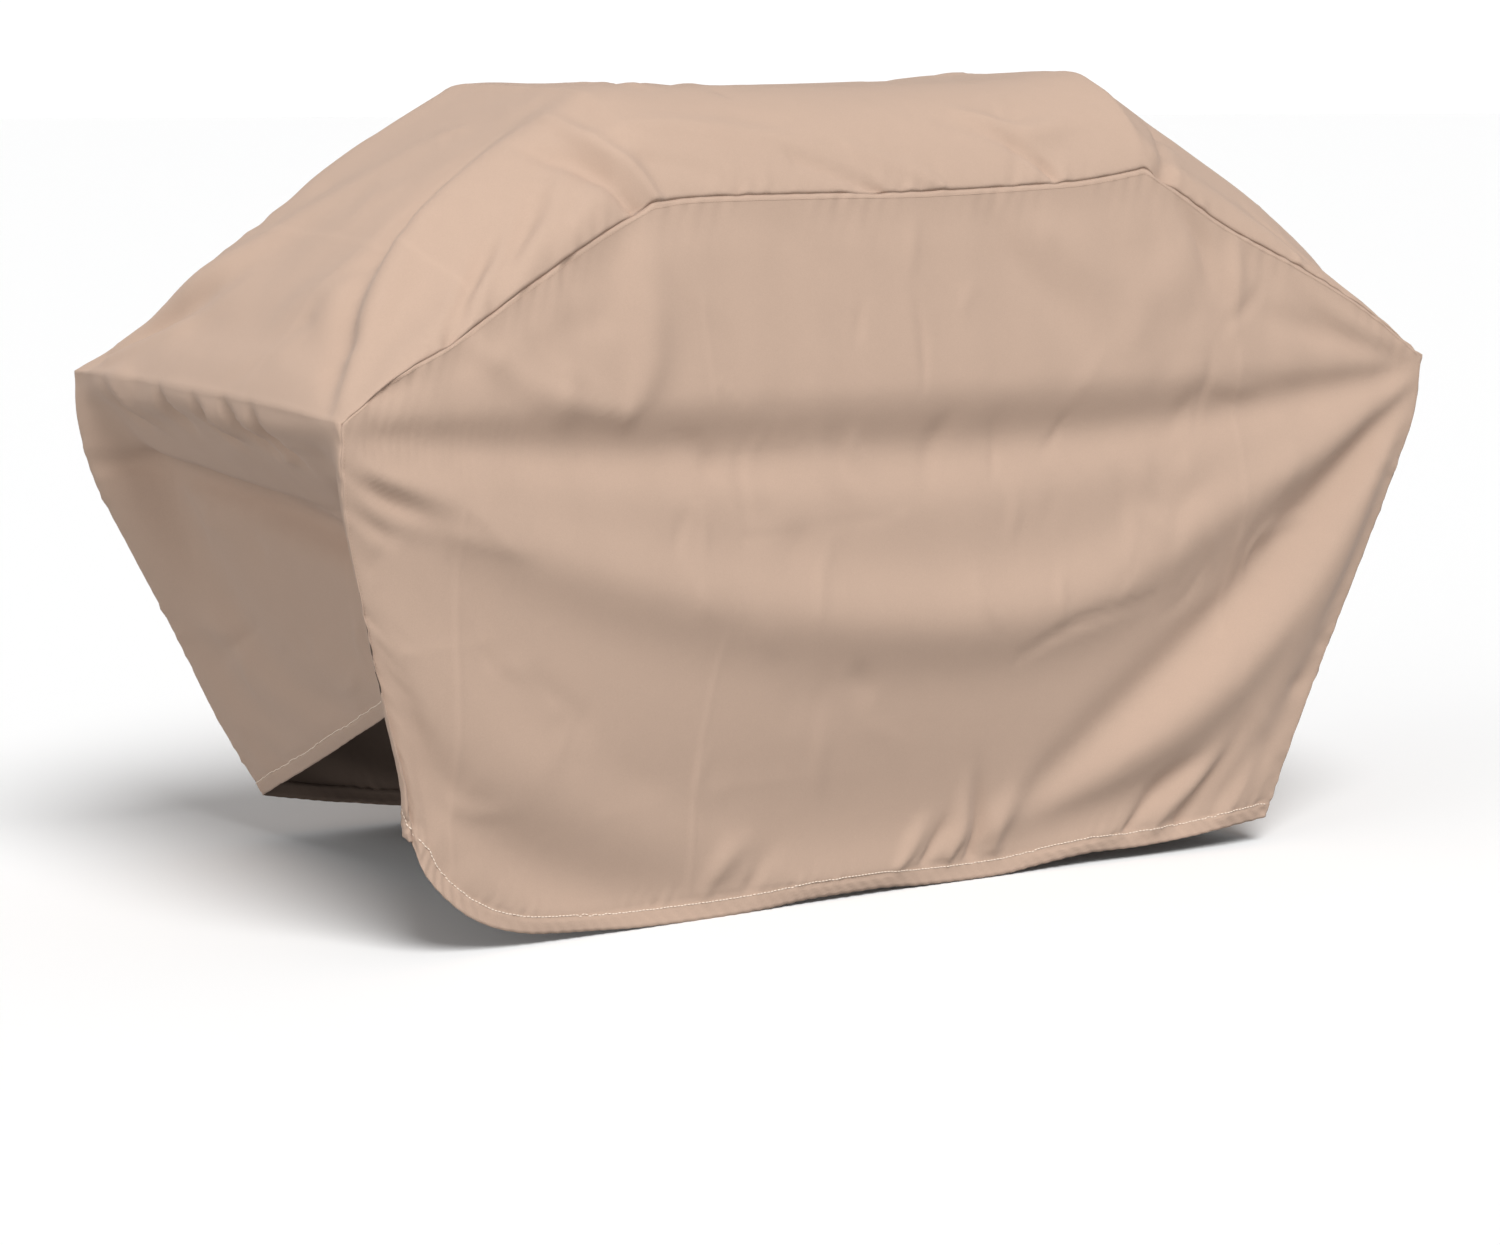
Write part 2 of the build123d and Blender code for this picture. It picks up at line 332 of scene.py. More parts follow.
def wrapForm():
    # stations run from the left hem over the hood to the right hem, and columns from front to back
    share, height = zip(*formPlan["crown"])
    ramp = np.interp(np.linspace(0, 1, formCells["slope"] + 1), share, height)
    ramp[1:-1] = (ramp[:-2] + 2 * ramp[1:-1] + ramp[2:]) / 4
    shelfLeft = hoodForm(edges["frontLeftSlope"], edges["backLeftSlope"], ramp)
    hood = hoodForm(edges["frontTop"], edges["backTop"], np.ones(formCells["hood"] + 1))
    shelfRight = hoodForm(edges["frontRightSlope"], edges["backRightSlope"], ramp)
    leftEnd = coonsPatch(edges["leftHem"], shelfLeft[0], edges["frontLeftSeam"], edges["backLeftSeam"])
    rightEnd = coonsPatch(edges["rightHem"], shelfRight[0], edges["frontRightSeam"], edges["backRightSeam"])
    dentEnd(leftEnd, formPlan["leftValley"], formPlan["leftTuck"], 0.42, 0.18, 1)
    dentEnd(rightEnd, formPlan["rightValley"], 0, 0.24, 0.40, -1)
    return np.concatenate([leftEnd[:-1], shelfLeft[:-1], hood[:-1], shelfRight[::-1][:-1], rightEnd[::-1]])


grids = dict(front=panelForm("front"), back=panelForm("back"), wrap=wrapForm())
print("cloth forms made:", {name: grid.shape[:2] for name, grid in grids.items()})

# a short cloth simulation, so that the loose cloth finds its own small folds

clothPlan = dict(
    frames=26, quality=5, mass=0.3, stretch=15, shear=5, bend=5.0,
    spare=0.008,        # extra cloth, as a share of its length
    hold=0.15,          # how firmly the cloth keeps to its form, from 0 to 1
    seamHold=0.7, hoodHold=0.4, shelfHold=0.6, hemHold=0.4,
    gravity=0.8,
    fine=1, broad=45,   # rounds of evening out: what lies between the two is kept
    share=0.40,         # and this much of it is laid on the form
)


def joinGrids(grids):
    # one numbering for the three pieces, which share the points along their seams
    fall, depth = formCells["fall"], formCells["depth"]
    wrap = np.arange(grids["wrap"].shape[0] * (depth + 1)).reshape(-1, depth + 1)
    points, numbers, total = [grids["wrap"].reshape(-1, 3)], dict(wrap=wrap), wrap.size
    for side, column in (("front", 0), ("back", depth)):
        number = -np.ones(grids[side].shape[:2], int)
        number[:, 0] = wrap[:fall + 1, column]
        number[-1] = wrap[fall:fall + number.shape[1], column]
        number[:, -1] = wrap[::-1][:fall + 1, column]
        free = number < 0
        number[free] = total + np.arange(free.sum())
        total += free.sum()
        points.append(grids[side][free])
        numbers[side] = number
    return np.vstack(points), numbers


def gridFaces(number, flip):
    a, b, c, d = number[:-1, :-1], number[:-1, 1:], number[1:, 1:], number[1:, :-1]
    return np.stack([d, c, b, a] if flip else [a, b, c, d], axis=-1).reshape(-1, 4)


def holdWeights(plan, numbers, count):
    fall = formCells["fall"]
    held = np.full(count, plan["hold"])
    wrap = numbers["wrap"]
    v = np.arange(wrap.shape[0])[:, None]
    u = np.linspace(0, 1, wrap.shape[1])[None, :]
    stations = wrap.shape[0] - 1
    onHood = (v >= fall + formCells["slope"]) & (v <= stations - fall - formCells["slope"])
    nearSeam = np.exp(-np.minimum(u, 1 - u) / 0.03)
    nearShelf = np.exp(-np.minimum(abs(v - fall), abs(v - stations + fall)) / 2)
    nearHem = np.exp(-np.minimum(v, stations - v) / 2)
    held[wrap] = np.maximum.reduce([
        plan["hold"] + 0 * (u + v),
        plan["hoodHold"] * onHood + 0 * u,
        plan["seamHold"] * nearSeam + 0 * v,
        plan["shelfHold"] * nearShelf + 0 * u,
        plan["hemHold"] * nearHem + 0 * u,
    ])
    for side in ("front", "back"):
        number = numbers[side]
        r = np.arange(number.shape[0])[:, None]
        c = np.arange(number.shape[1])[None, :]
        edge = np.minimum(np.minimum(c, number.shape[1] - 1 - c), number.shape[0] - 1 - r)
        held[number] = np.maximum.reduce([
            plan["hold"] + 0 * (r + c),
            plan["seamHold"] * np.exp(-edge / 2),
            plan["hemHold"] * np.exp(-r / 2) + 0 * c,
        ])
    return np.round(held, 2)


def broadPart(shift, rounds):
    # the given shifts, evened out over their neighbours in both directions
    shift = shift.copy()
    for _ in range(rounds):
        shift[1:-1] = (shift[:-2] + 2 * shift[1:-1] + shift[2:]) / 4
        shift[:, 1:-1] = (shift[:, :-2] + 2 * shift[:, 1:-1] + shift[:, 2:]) / 4
    return shift


def relaxCloth(plan, grids):
    points, numbers = joinGrids(grids)
    faces = np.vstack([gridFaces(numbers[name], name != "front") for name in ("wrap", "front", "back")])
    mesh = bpy.data.meshes.new("looseCloth")
    mesh.from_pydata(points.tolist(), [], faces.tolist())
    loose = bpy.data.objects.new("looseCloth", mesh)
    scene.collection.objects.link(loose)
    held = holdWeights(plan, numbers, len(points))
    group = loose.vertex_groups.new(name="held")
    for weight in np.unique(held):
        group.add(np.where(held == weight)[0].tolist(), float(weight), "REPLACE")
    modifier = loose.modifiers.new("cloth", "CLOTH")
    settings = modifier.settings
    settings.quality = plan["quality"]
    settings.mass = plan["mass"]
    settings.tension_stiffness = settings.compression_stiffness = plan["stretch"]
    settings.shear_stiffness = plan["shear"]
    settings.bending_stiffness = plan["bend"]
    settings.tension_damping = settings.compression_damping = settings.shear_damping = 5
    settings.bending_damping = 0.5
    settings.shrink_min = -plan["spare"]
    settings.vertex_group_mass = "held"
    settings.pin_stiffness = 1
    settings.effector_weights.gravity = plan["gravity"]
    modifier.collision_settings.use_collision = False
    modifier.collision_settings.use_self_collision = False
    modifier.point_cache.frame_start = 1
    modifier.point_cache.frame_end = plan["frames"] + 1
    for step in range(1, plan["frames"] + 1):
        scene.frame_set(step)
    settled = loose.evaluated_get(bpy.context.evaluated_depsgraph_get()).data
    moved = np.empty(len(points) * 3)
    settled.vertices.foreach_get("co", moved)
    moved = moved.reshape(-1, 3)
    scene.frame_set(1)
    bpy.data.objects.remove(loose)
    bpy.data.meshes.remove(mesh)
    meanMove = float(np.linalg.norm(moved - points, axis=1).mean())
    print("cloth settled, mean move", round(meanMove * 1000, 1), "mm")
    # the wrinkles are kept, and the sag of the whole cloth isn't, since its form is already set
    shifts = {name: moved[number] - grids[name] for name, number in numbers.items()}
    return {
        name: grids[name] + plan["share"] * (broadPart(shift, plan["fine"]) - broadPart(shift, plan["broad"]))
        for name, shift in shifts.items()
    }


grids = relaxCloth(clothPlan, grids)

# finer lines


def cubicRows(count, places):
    # a matrix that reads a smooth curve through even samples, at any places from 0 to 1
    t = np.asarray(places) * (count - 1)
    i = np.clip(np.floor(t).astype(int), 0, count - 2)
    f = t - i
    matrix = np.zeros((len(t), count + 2))
    shares = (2 * f**2 - f - f**3, 2 - 5 * f**2 + 3 * f**3, f + 4 * f**2 - 3 * f**3, f**3 - f**2)
    for k, share in enumerate(shares):
        matrix[np.arange(len(t)), i + k] += share / 2
    ends = np.eye(count)
    return matrix @ np.vstack([2 * ends[0] - ends[1], ends, 2 * ends[-1] - ends[-2]])


def refine(grid, rowPlaces, columnPlaces):
    rows, columns = cubicRows(grid.shape[0], rowPlaces), cubicRows(grid.shape[1], columnPlaces)
    return np.einsum("ri,ijk,cj->rck", rows, grid, columns, optimize=True)


def linePlaces(length, cells, lowSteps, highSteps):
    # even lines over a length, with closer ones at either end
    low = np.array(lowSteps) / length
    high = 1 - np.array(highSteps)[::-1] / length
    return np.concatenate([low[:-1], np.linspace(low[-1], high[0], cells + 1), high[1:]])


def refineAll(plan, grids):
    seam = plan["seamSteps"]
    rowPlaces = linePlaces(0.75, plan["fall"], plan["hemSteps"], seam)
    depthPlaces = linePlaces(0.70, plan["depth"], seam, seam)
    slopeShare = formCells["slope"] / topCells
    slopePlaces = linePlaces(0.49, plan["slope"], seam, (0,)) * slopeShare
    hoodPlaces = np.linspace(slopeShare, 1 - slopeShare, plan["hood"] + 1)
    topPlaces = np.concatenate([slopePlaces[:-1], hoodPlaces, 1 - slopePlaces[::-1][1:]])
    fall = formCells["fall"]
    wrap = grids["wrap"]
    leftEnd = refine(wrap[:fall + 1], rowPlaces, depthPlaces)
    top = refine(wrap[fall:fall + topCells + 1], topPlaces, depthPlaces)
    rightEnd = refine(wrap[::-1][:fall + 1], rowPlaces, depthPlaces)
    return dict(
        front=refine(grids["front"], rowPlaces, topPlaces),
        back=refine(grids["back"], rowPlaces, topPlaces),
        wrap=np.concatenate([leftEnd[:-1], top[:-1], rightEnd[::-1]]),
    )


grids = refineAll(finePlan, grids)
fallLines, topLines = grids["front"].shape[:2]
print("finer lines:", {name: grid.shape[:2] for name, grid in grids.items()})

# folds, seams and the hem

# each fold is a line of points: across, up, height of its ridge (negative for a valley), half width
frontFolds = [
    # the hollow under the shelf edge
    [(-0.757, 0.573, -0.001, 0.010), (-0.60, 0.553, -0.010, 0.028), (-0.40, 0.535, -0.014, 0.036),
     (-0.10, 0.522, -0.016, 0.042), (0.10, 0.522, -0.016, 0.042), (0.35, 0.535, -0.014, 0.036),
     (0.60, 0.562, -0.010, 0.026), (0.755, 0.588, -0.001, 0.010)],
    # the swag that hangs from the two shelf corners
    [(-0.757, 0.555, 0.001, 0.008), (-0.65, 0.490, 0.007, 0.026), (-0.50, 0.425, 0.011, 0.042),
     (-0.30, 0.365, 0.015, 0.050), (-0.10, 0.330, 0.017, 0.052), (0.10, 0.318, 0.018, 0.052),
     (0.25, 0.340, 0.017, 0.050), (0.40, 0.410, 0.014, 0.042), (0.58, 0.487, 0.009, 0.028),
     (0.755, 0.578, 0.001, 0.010)],
    # below the swag the cloth falls in, down to the hem
    [(-0.62, 0.170, -0.004, 0.050), (-0.52, 0.100, -0.012, 0.085), (-0.30, 0.070, -0.018, 0.110),
     (0.00, 0.050, -0.022, 0.120), (0.22, 0.050, -0.018, 0.110), (0.40, 0.050, -0.008, 0.080)],
    # the long valley and ridge from the right shelf corner
    [(0.755, 0.565, -0.001, 0.010), (0.66, 0.490, -0.009, 0.022), (0.55, 0.395, -0.013, 0.032),
     (0.42, 0.280, -0.014, 0.036), (0.28, 0.180, -0.011, 0.034), (0.16, 0.100, -0.004, 0.022)],
    [(0.752, 0.545, 0.001, 0.010), (0.67, 0.445, 0.009, 0.026), (0.56, 0.310, 0.017, 0.040),
     (0.44, 0.215, 0.018, 0.046), (0.30, 0.130, 0.011, 0.038), (0.20, 0.085, 0.003, 0.022)],
    [(0.735, 0.480, -0.001, 0.012), (0.640, 0.270, -0.006, 0.020), (0.555, 0.090, -0.004, 0.020)],
    [(0.12, 0.270, -0.001, 0.006), (0.20, 0.305, -0.004, 0.008), (0.32, 0.325, -0.001, 0.006)],
    # the lobe: its edge turns away, with a soft ridge beside it
    [(-0.748, 0.470, -0.001, 0.010), (-0.705, 0.340, -0.005, 0.020), (-0.665, 0.200, -0.008, 0.026),
     (-0.630, 0.110, -0.004, 0.026)],
    [(-0.735, 0.440, 0.001, 0.012), (-0.670, 0.330, 0.006, 0.030), (-0.560, 0.200, 0.008, 0.045),
     (-0.420, 0.120, 0.007, 0.045), (-0.280, 0.085, 0.003, 0.030)],
    # puckers that fan out from the left shelf corner
    [(-0.750, 0.600, 0.000, 0.006), (-0.700, 0.618, -0.005, 0.011), (-0.650, 0.636, 0.000, 0.012)],
    [(-0.755, 0.545, 0.001, 0.006), (-0.690, 0.520, 0.004, 0.012), (-0.600, 0.495, 0.001, 0.020)],
    [(-0.755, 0.530, -0.001, 0.006), (-0.695, 0.500, -0.005, 0.010), (-0.620, 0.470, -0.001, 0.014)],
    [(-0.754, 0.512, 0.002, 0.006), (-0.700, 0.480, 0.003, 0.010), (-0.650, 0.460, 0.000, 0.012)],
    [(-0.752, 0.497, -0.003, 0.005), (-0.715, 0.470, -0.003, 0.008), (-0.690, 0.455, 0.000, 0.010)],
    [(-0.750, 0.482, 0.003, 0.005), (-0.722, 0.455, 0.002, 0.008)],
    [(-0.748, 0.466, -0.003, 0.005), (-0.728, 0.430, -0.002, 0.008)],
    # the upper face
    [(-0.585, 0.680, 0.000, 0.012), (-0.572, 0.645, 0.003, 0.016), (-0.510, 0.608, 0.005, 0.018),
     (-0.412, 0.580, 0.003, 0.012)],
    [(-0.405, 0.578, 0.002, 0.012), (-0.372, 0.640, 0.006, 0.026), (-0.357, 0.720, 0.006, 0.030),
     (-0.350, 0.795, 0.003, 0.016)],
    [(-0.480, 0.665, -0.002, 0.030), (-0.420, 0.720, -0.004, 0.034), (-0.385, 0.770, -0.002, 0.020)],
    [(-0.520, 0.650, 0.000, 0.006), (-0.460, 0.618, 0.002, 0.008), (-0.410, 0.600, 0.000, 0.006)],
    [(0.090, 0.800, -0.001, 0.016), (0.160, 0.715, -0.005, 0.024), (0.240, 0.640, -0.002, 0.030)],
    [(0.180, 0.800, 0.000, 0.020), (0.225, 0.740, 0.004, 0.026), (0.300, 0.690, 0.001, 0.030)],
    [(0.310, 0.665, 0.001, 0.030), (0.360, 0.700, 0.005, 0.036), (0.400, 0.745, 0.001, 0.024)],
    [(0.395, 0.795, -0.002, 0.008), (0.425, 0.745, -0.006, 0.014), (0.435, 0.690, -0.002, 0.016)],
    [(0.480, 0.752, 0.003, 0.008), (0.470, 0.700, 0.004, 0.012), (0.455, 0.620, 0.000, 0.008)],
    [(0.430, 0.640, 0.000, 0.006), (0.480, 0.668, -0.003, 0.008), (0.520, 0.700, 0.000, 0.008)],
    [(0.560, 0.700, 0.001, 0.010), (0.650, 0.640, 0.004, 0.012), (0.735, 0.606, 0.001, 0.008)],
    [(0.500, 0.660, -0.001, 0.016), (0.600, 0.635, -0.005, 0.018), (0.720, 0.600, -0.001, 0.010)],
    # short folds over the hem
    [(-0.300, 0.030, 0.002, 0.010), (-0.272, 0.066, 0.005, 0.014), (-0.225, 0.090, 0.000, 0.012)],
    [(-0.240, 0.028, -0.003, 0.009), (-0.218, 0.060, -0.002, 0.011), (-0.190, 0.080, 0.000, 0.010)],
    [(-0.030, 0.026, 0.003, 0.008), (-0.005, 0.060, 0.005, 0.011), (0.020, 0.085, 0.000, 0.010)],
    [(0.010, 0.028, -0.005, 0.007), (0.028, 0.058, -0.005, 0.009), (0.055, 0.085, 0.000, 0.010)],
    [(0.045, 0.030, 0.004, 0.008), (0.060, 0.065, 0.006, 0.012), (0.066, 0.120, 0.001, 0.012)],
    [(0.080, 0.030, -0.006, 0.007), (0.088, 0.075, -0.006, 0.010), (0.080, 0.140, -0.001, 0.012)],
    [(0.110, 0.034, 0.005, 0.010), (0.118, 0.070, 0.007, 0.016), (0.150, 0.110, 0.002, 0.020)],
    [(0.310, 0.038, -0.006, 0.009), (0.350, 0.085, -0.007, 0.013), (0.420, 0.125, -0.001, 0.014)],
    [(0.345, 0.036, 0.004, 0.010), (0.395, 0.085, 0.005, 0.013), (0.450, 0.130, 0.001, 0.014)],
    [(0.385, 0.040, -0.005, 0.009), (0.430, 0.090, -0.006, 0.012), (0.480, 0.160, -0.001, 0.014)],
    [(0.450, 0.042, 0.003, 0.009), (0.480, 0.080, 0.004, 0.013), (0.510, 0.130, 0.000, 0.012)],
]
frontCreases = [  # where the cloth was folded to be packed
    [(-0.630, 0.090, 0.0006, 0.004), (-0.626, 0.300, 0.0010, 0.004), (-0.620, 0.485, 0.0006, 0.004)],
    [(-0.322, 0.030, 0.0008, 0.004), (-0.315, 0.180, 0.0010, 0.004), (-0.292, 0.320, 0.0006, 0.004)],
    [(-0.296, 0.590, 0.0006, 0.004), (-0.300, 0.700, 0.0008, 0.004)],
    [(0.440, 0.270, 0.0008, 0.004), (0.458, 0.420, 0.0008, 0.004), (0.462, 0.620, 0.0008, 0.004)],
    [(-0.450, 0.142, 0.0006, 0.004), (-0.300, 0.152, 0.0010, 0.004), (-0.080, 0.150, 0.0006, 0.004)],
    [(-0.690, 0.340, 0.0008, 0.004), (-0.590, 0.347, 0.0006, 0.004)],
    [(-0.300, 0.545, 0.0008, 0.004), (-0.180, 0.540, 0.0004, 0.004)],
    [(-0.290, 0.615, 0.0012, 0.004), (-0.250, 0.575, 0.0004, 0.004)],
    [(-0.260, 0.430, -0.0012, 0.005), (-0.100, 0.438, -0.0008, 0.005), (-0.040, 0.450, 0.0, 0.005)],
]
# on the wrap, the first two values are the distance up from the shelf edge along the cloth, and y
leftFolds = [
    # the long crease up the slope, with a hollow behind it
    [(0.000, -0.338, 0.001, 0.008), (0.075, -0.285, 0.007, 0.016), (0.190, -0.220, 0.010, 0.022),
     (0.310, -0.178, 0.008, 0.022), (0.440, -0.150, 0.002, 0.020)],
    [(0.010, -0.310, -0.001, 0.008), (0.080, -0.245, -0.006, 0.018), (0.190, -0.180, -0.008, 0.024),
     (0.310, -0.138, -0.006, 0.024), (0.430, -0.120, -0.001, 0.020)],
    # shorter creases that fan out from the front seam
    [(0.155, -0.335, -0.003, 0.006), (0.235, -0.292, -0.006, 0.009), (0.315, -0.252, -0.001, 0.009)],
    [(0.175, -0.338, 0.003, 0.007), (0.260, -0.298, 0.004, 0.011), (0.340, -0.258, 0.001, 0.012)],
    [(0.215, -0.328, -0.002, 0.007), (0.320, -0.278, -0.004, 0.011), (0.410, -0.232, -0.001, 0.012)],
    [(0.250, -0.326, 0.003, 0.008), (0.345, -0.288, 0.005, 0.013), (0.425, -0.245, 0.002, 0.016)],
    [(0.330, -0.315, 0.002, 0.008), (0.390, -0.295, 0.003, 0.010), (0.430, -0.275, 0.001, 0.010)],
    # the fold at the hood's corner
    [(0.420, -0.190, -0.002, 0.012), (0.438, -0.245, -0.009, 0.016), (0.446, -0.302, -0.007, 0.010)],
    [(0.482, -0.130, 0.001, 0.014), (0.474, -0.215, 0.006, 0.014), (0.476, -0.298, 0.006, 0.009)],
    # soft folds from the back shelf corner
    [(0.015, 0.330, 0.001, 0.010), (0.105, 0.220, 0.007, 0.026), (0.190, 0.130, 0.007, 0.032),
     (0.300, 0.062, 0.004, 0.034), (0.440, 0.000, 0.001, 0.030)],
    [(0.012, 0.322, -0.002, 0.010), (0.082, 0.195, -0.006, 0.018), (0.150, 0.105, -0.003, 0.024)],
    [(0.010, 0.300, 0.002, 0.010), (0.060, 0.180, 0.005, 0.018), (0.120, 0.085, 0.001, 0.022)],
    [(0.030, 0.338, -0.001, 0.014), (0.140, 0.272, -0.007, 0.030), (0.290, 0.215, -0.004, 0.036)],
    # over the front of the hood
    [(0.490, -0.235, 0.002, 0.012), (0.620, -0.248, 0.004, 0.014), (0.740, -0.266, 0.001, 0.012)],
    [(0.500, -0.272, -0.003, 0.008), (0.580, -0.292, -0.001, 0.007)],
    [(0.690, -0.280, -0.003, 0.006), (0.775, -0.303, -0.005, 0.006)],
    [(0.780, -0.272, 0.002, 0.007), (0.865, -0.300, 0.003, 0.006)],
    [(0.940, -0.242, -0.001, 0.008), (0.995, -0.262, -0.004, 0.008), (1.030, -0.292, -0.007, 0.007)],
    [(0.985, -0.232, 0.002, 0.010), (1.050, -0.262, 0.006, 0.010), (1.160, -0.242, 0.001, 0.016)],
    # the rolled shelf edge and its puckers
    [(-0.012, -0.338, 0.001, 0.012), (-0.020, -0.240, 0.006, 0.018), (-0.024, -0.100, 0.008, 0.020),
     (-0.016, 0.050, 0.007, 0.020),
     (-0.026, 0.150, 0.008, 0.020), (-0.018, 0.250, 0.007, 0.020), (-0.026, 0.330, 0.001, 0.012)],
    [(-0.006, -0.140, -0.002, 0.007), (-0.040, -0.156, -0.012, 0.010), (-0.095, -0.186, 0.000, 0.009)],
    [(-0.004, -0.070, -0.002, 0.007), (-0.034, -0.096, -0.012, 0.010), (-0.085, -0.140, 0.000, 0.009)],
    [(-0.010, -0.030, 0.001, 0.006), (-0.035, -0.045, 0.005, 0.008), (-0.058, -0.075, 0.000, 0.008)],
    [(-0.006, 0.004, -0.002, 0.007), (-0.036, -0.018, -0.011, 0.010), (-0.080, -0.060, 0.000, 0.009)],
    [(-0.004, 0.098, -0.002, 0.008), (-0.030, 0.086, -0.009, 0.012), (-0.066, 0.060, 0.000, 0.010)],
    [(-0.004, 0.224, 0.001, 0.006), (-0.040, 0.182, 0.005, 0.008), (-0.085, 0.138, 0.000, 0.008)],
    [(-0.004, 0.262, -0.001, 0.008), (-0.040, 0.226, -0.006, 0.011), (-0.074, 0.186, 0.000, 0.010)],
    [(-0.072, -0.172, 0.001, 0.005), (-0.079, -0.140, 0.003, 0.006), (-0.086, -0.108, 0.000, 0.005)],
    # the bottom of the long valley
    [(-0.225, -0.240, -0.006, 0.016), (-0.200, -0.080, -0.017, 0.022), (-0.172, 0.080, -0.016, 0.022),
     (-0.142, 0.220, -0.011, 0.018), (-0.115, 0.335, -0.002, 0.012)],
    [(-0.330, 0.140, 0.000, 0.008), (-0.365, 0.215, -0.003, 0.010), (-0.405, 0.310, 0.000, 0.010)],
]
rightFolds = [
    [(0.000, -0.338, 0.001, 0.008), (0.080, -0.260, 0.006, 0.018), (0.190, -0.190, 0.008, 0.024),
     (0.330, -0.150, 0.002, 0.022)],
    [(0.010, -0.300, -0.001, 0.008), (0.085, -0.220, -0.005, 0.020), (0.190, -0.150, -0.006, 0.024),
     (0.320, -0.110, -0.001, 0.020)],
    [(0.015, 0.330, 0.001, 0.010), (0.100, 0.230, 0.006, 0.024), (0.200, 0.150, 0.006, 0.030),
     (0.330, 0.080, 0.002, 0.030)],
    [(0.140, -0.325, -0.003, 0.007), (0.220, -0.300, -0.005, 0.009), (0.300, -0.262, -0.001, 0.010)],
    [(0.438, -0.200, -0.002, 0.012), (0.446, -0.302, -0.007, 0.012)],
    [(0.438, 0.200, -0.002, 0.012), (0.446, 0.302, -0.007, 0.012)],
    [(-0.012, -0.338, 0.001, 0.012), (-0.022, -0.180, 0.007, 0.018), (-0.016, 0.000, 0.008, 0.020),
     (-0.024, 0.180, 0.007, 0.018), (-0.014, 0.338, 0.001, 0.012)],
    [(-0.010, -0.110, -0.001, 0.006), (-0.036, -0.128, -0.006, 0.009), (-0.070, -0.150, 0.000, 0.008)],
    [(-0.010, 0.060, -0.001, 0.006), (-0.034, 0.046, -0.006, 0.009), (-0.066, 0.020, 0.000, 0.008)],
    [(-0.010, 0.205, 0.001, 0.006), (-0.036, 0.190, 0.005, 0.009), (-0.072, 0.160, 0.000, 0.008)],
    [(-0.150, -0.330, -0.002, 0.012), (-0.190, -0.120, -0.008, 0.018), (-0.215, 0.120, -0.008, 0.018),
     (-0.200, 0.330, -0.002, 0.012)],
    [(-0.020, -0.320, 0.001, 0.012), (-0.200, -0.240, 0.007, 0.030), (-0.420, -0.150, 0.002, 0.040)],
    [(-0.020, 0.320, 0.001, 0.012), (-0.220, 0.230, 0.007, 0.030), (-0.420, 0.110, 0.002, 0.040)],
]
backFolds = [
    [(-0.755, 0.580, -0.001, 0.010), (-0.40, 0.540, -0.013, 0.034), (0.00, 0.525, -0.016, 0.042),
     (0.40, 0.540, -0.013, 0.034), (0.755, 0.580, -0.001, 0.010)],
    [(-0.755, 0.560, 0.001, 0.008), (-0.58, 0.465, 0.009, 0.030), (-0.32, 0.370, 0.014, 0.048),
     (0.00, 0.330, 0.016, 0.052),
     (0.30, 0.365, 0.014, 0.048), (0.58, 0.470, 0.009, 0.030), (0.755, 0.560, 0.001, 0.008)],
    [(-0.745, 0.500, 0.001, 0.010), (-0.62, 0.330, 0.008, 0.034), (-0.46, 0.170, 0.010, 0.044),
     (-0.30, 0.080, 0.002, 0.030)],
    [(-0.750, 0.540, -0.001, 0.010), (-0.58, 0.380, -0.009, 0.026), (-0.38, 0.220, -0.011, 0.034),
     (-0.18, 0.110, -0.002, 0.024)],
    [(0.745, 0.510, 0.001, 0.010), (0.62, 0.340, 0.008, 0.034), (0.47, 0.180, 0.009, 0.044),
     (0.36, 0.080, 0.002, 0.030)],
    [(0.750, 0.545, -0.001, 0.010), (0.59, 0.390, -0.008, 0.026), (0.42, 0.240, -0.010, 0.034),
     (0.26, 0.110, -0.002, 0.024)],
    [(-0.20, 0.230, -0.004, 0.060), (0.05, 0.180, -0.010, 0.080), (0.20, 0.220, -0.003, 0.060)],
    [(-0.420, 0.580, 0.002, 0.012), (-0.385, 0.660, 0.005, 0.026), (-0.356, 0.795, 0.002, 0.018)],
    [(0.430, 0.580, 0.002, 0.012), (0.380, 0.670, 0.005, 0.026), (0.356, 0.795, 0.002, 0.018)],
    [(-0.150, 0.795, -0.001, 0.016), (-0.100, 0.710, -0.005, 0.024), (-0.010, 0.640, -0.001, 0.030)],
    [(0.120, 0.690, 0.001, 0.030), (0.200, 0.740, 0.004, 0.034), (0.260, 0.800, 0.001, 0.020)],
    [(-0.745, 0.540, -0.001, 0.006), (-0.680, 0.500, -0.005, 0.010), (-0.600, 0.465, -0.001, 0.014)],
    [(0.748, 0.545, -0.001, 0.006), (0.690, 0.505, -0.005, 0.010), (0.620, 0.478, -0.001, 0.014)],
    [(-0.260, 0.040, 0.004, 0.009), (-0.220, 0.085, 0.005, 0.013), (-0.180, 0.120, 0.000, 0.012)],
    [(-0.205, 0.036, -0.005, 0.008), (-0.170, 0.080, -0.005, 0.011), (-0.130, 0.110, 0.000, 0.012)],
    [(0.080, 0.032, 0.004, 0.009), (0.060, 0.075, 0.005, 0.013), (0.030, 0.110, 0.000, 0.012)],
    [(0.130, 0.032, -0.005, 0.008), (0.115, 0.075, -0.005, 0.011), (0.090, 0.115, 0.000, 0.012)],
    [(0.340, 0.040, -0.005, 0.008), (0.370, 0.090, -0.006, 0.012), (0.430, 0.150, 0.000, 0.012)],
]
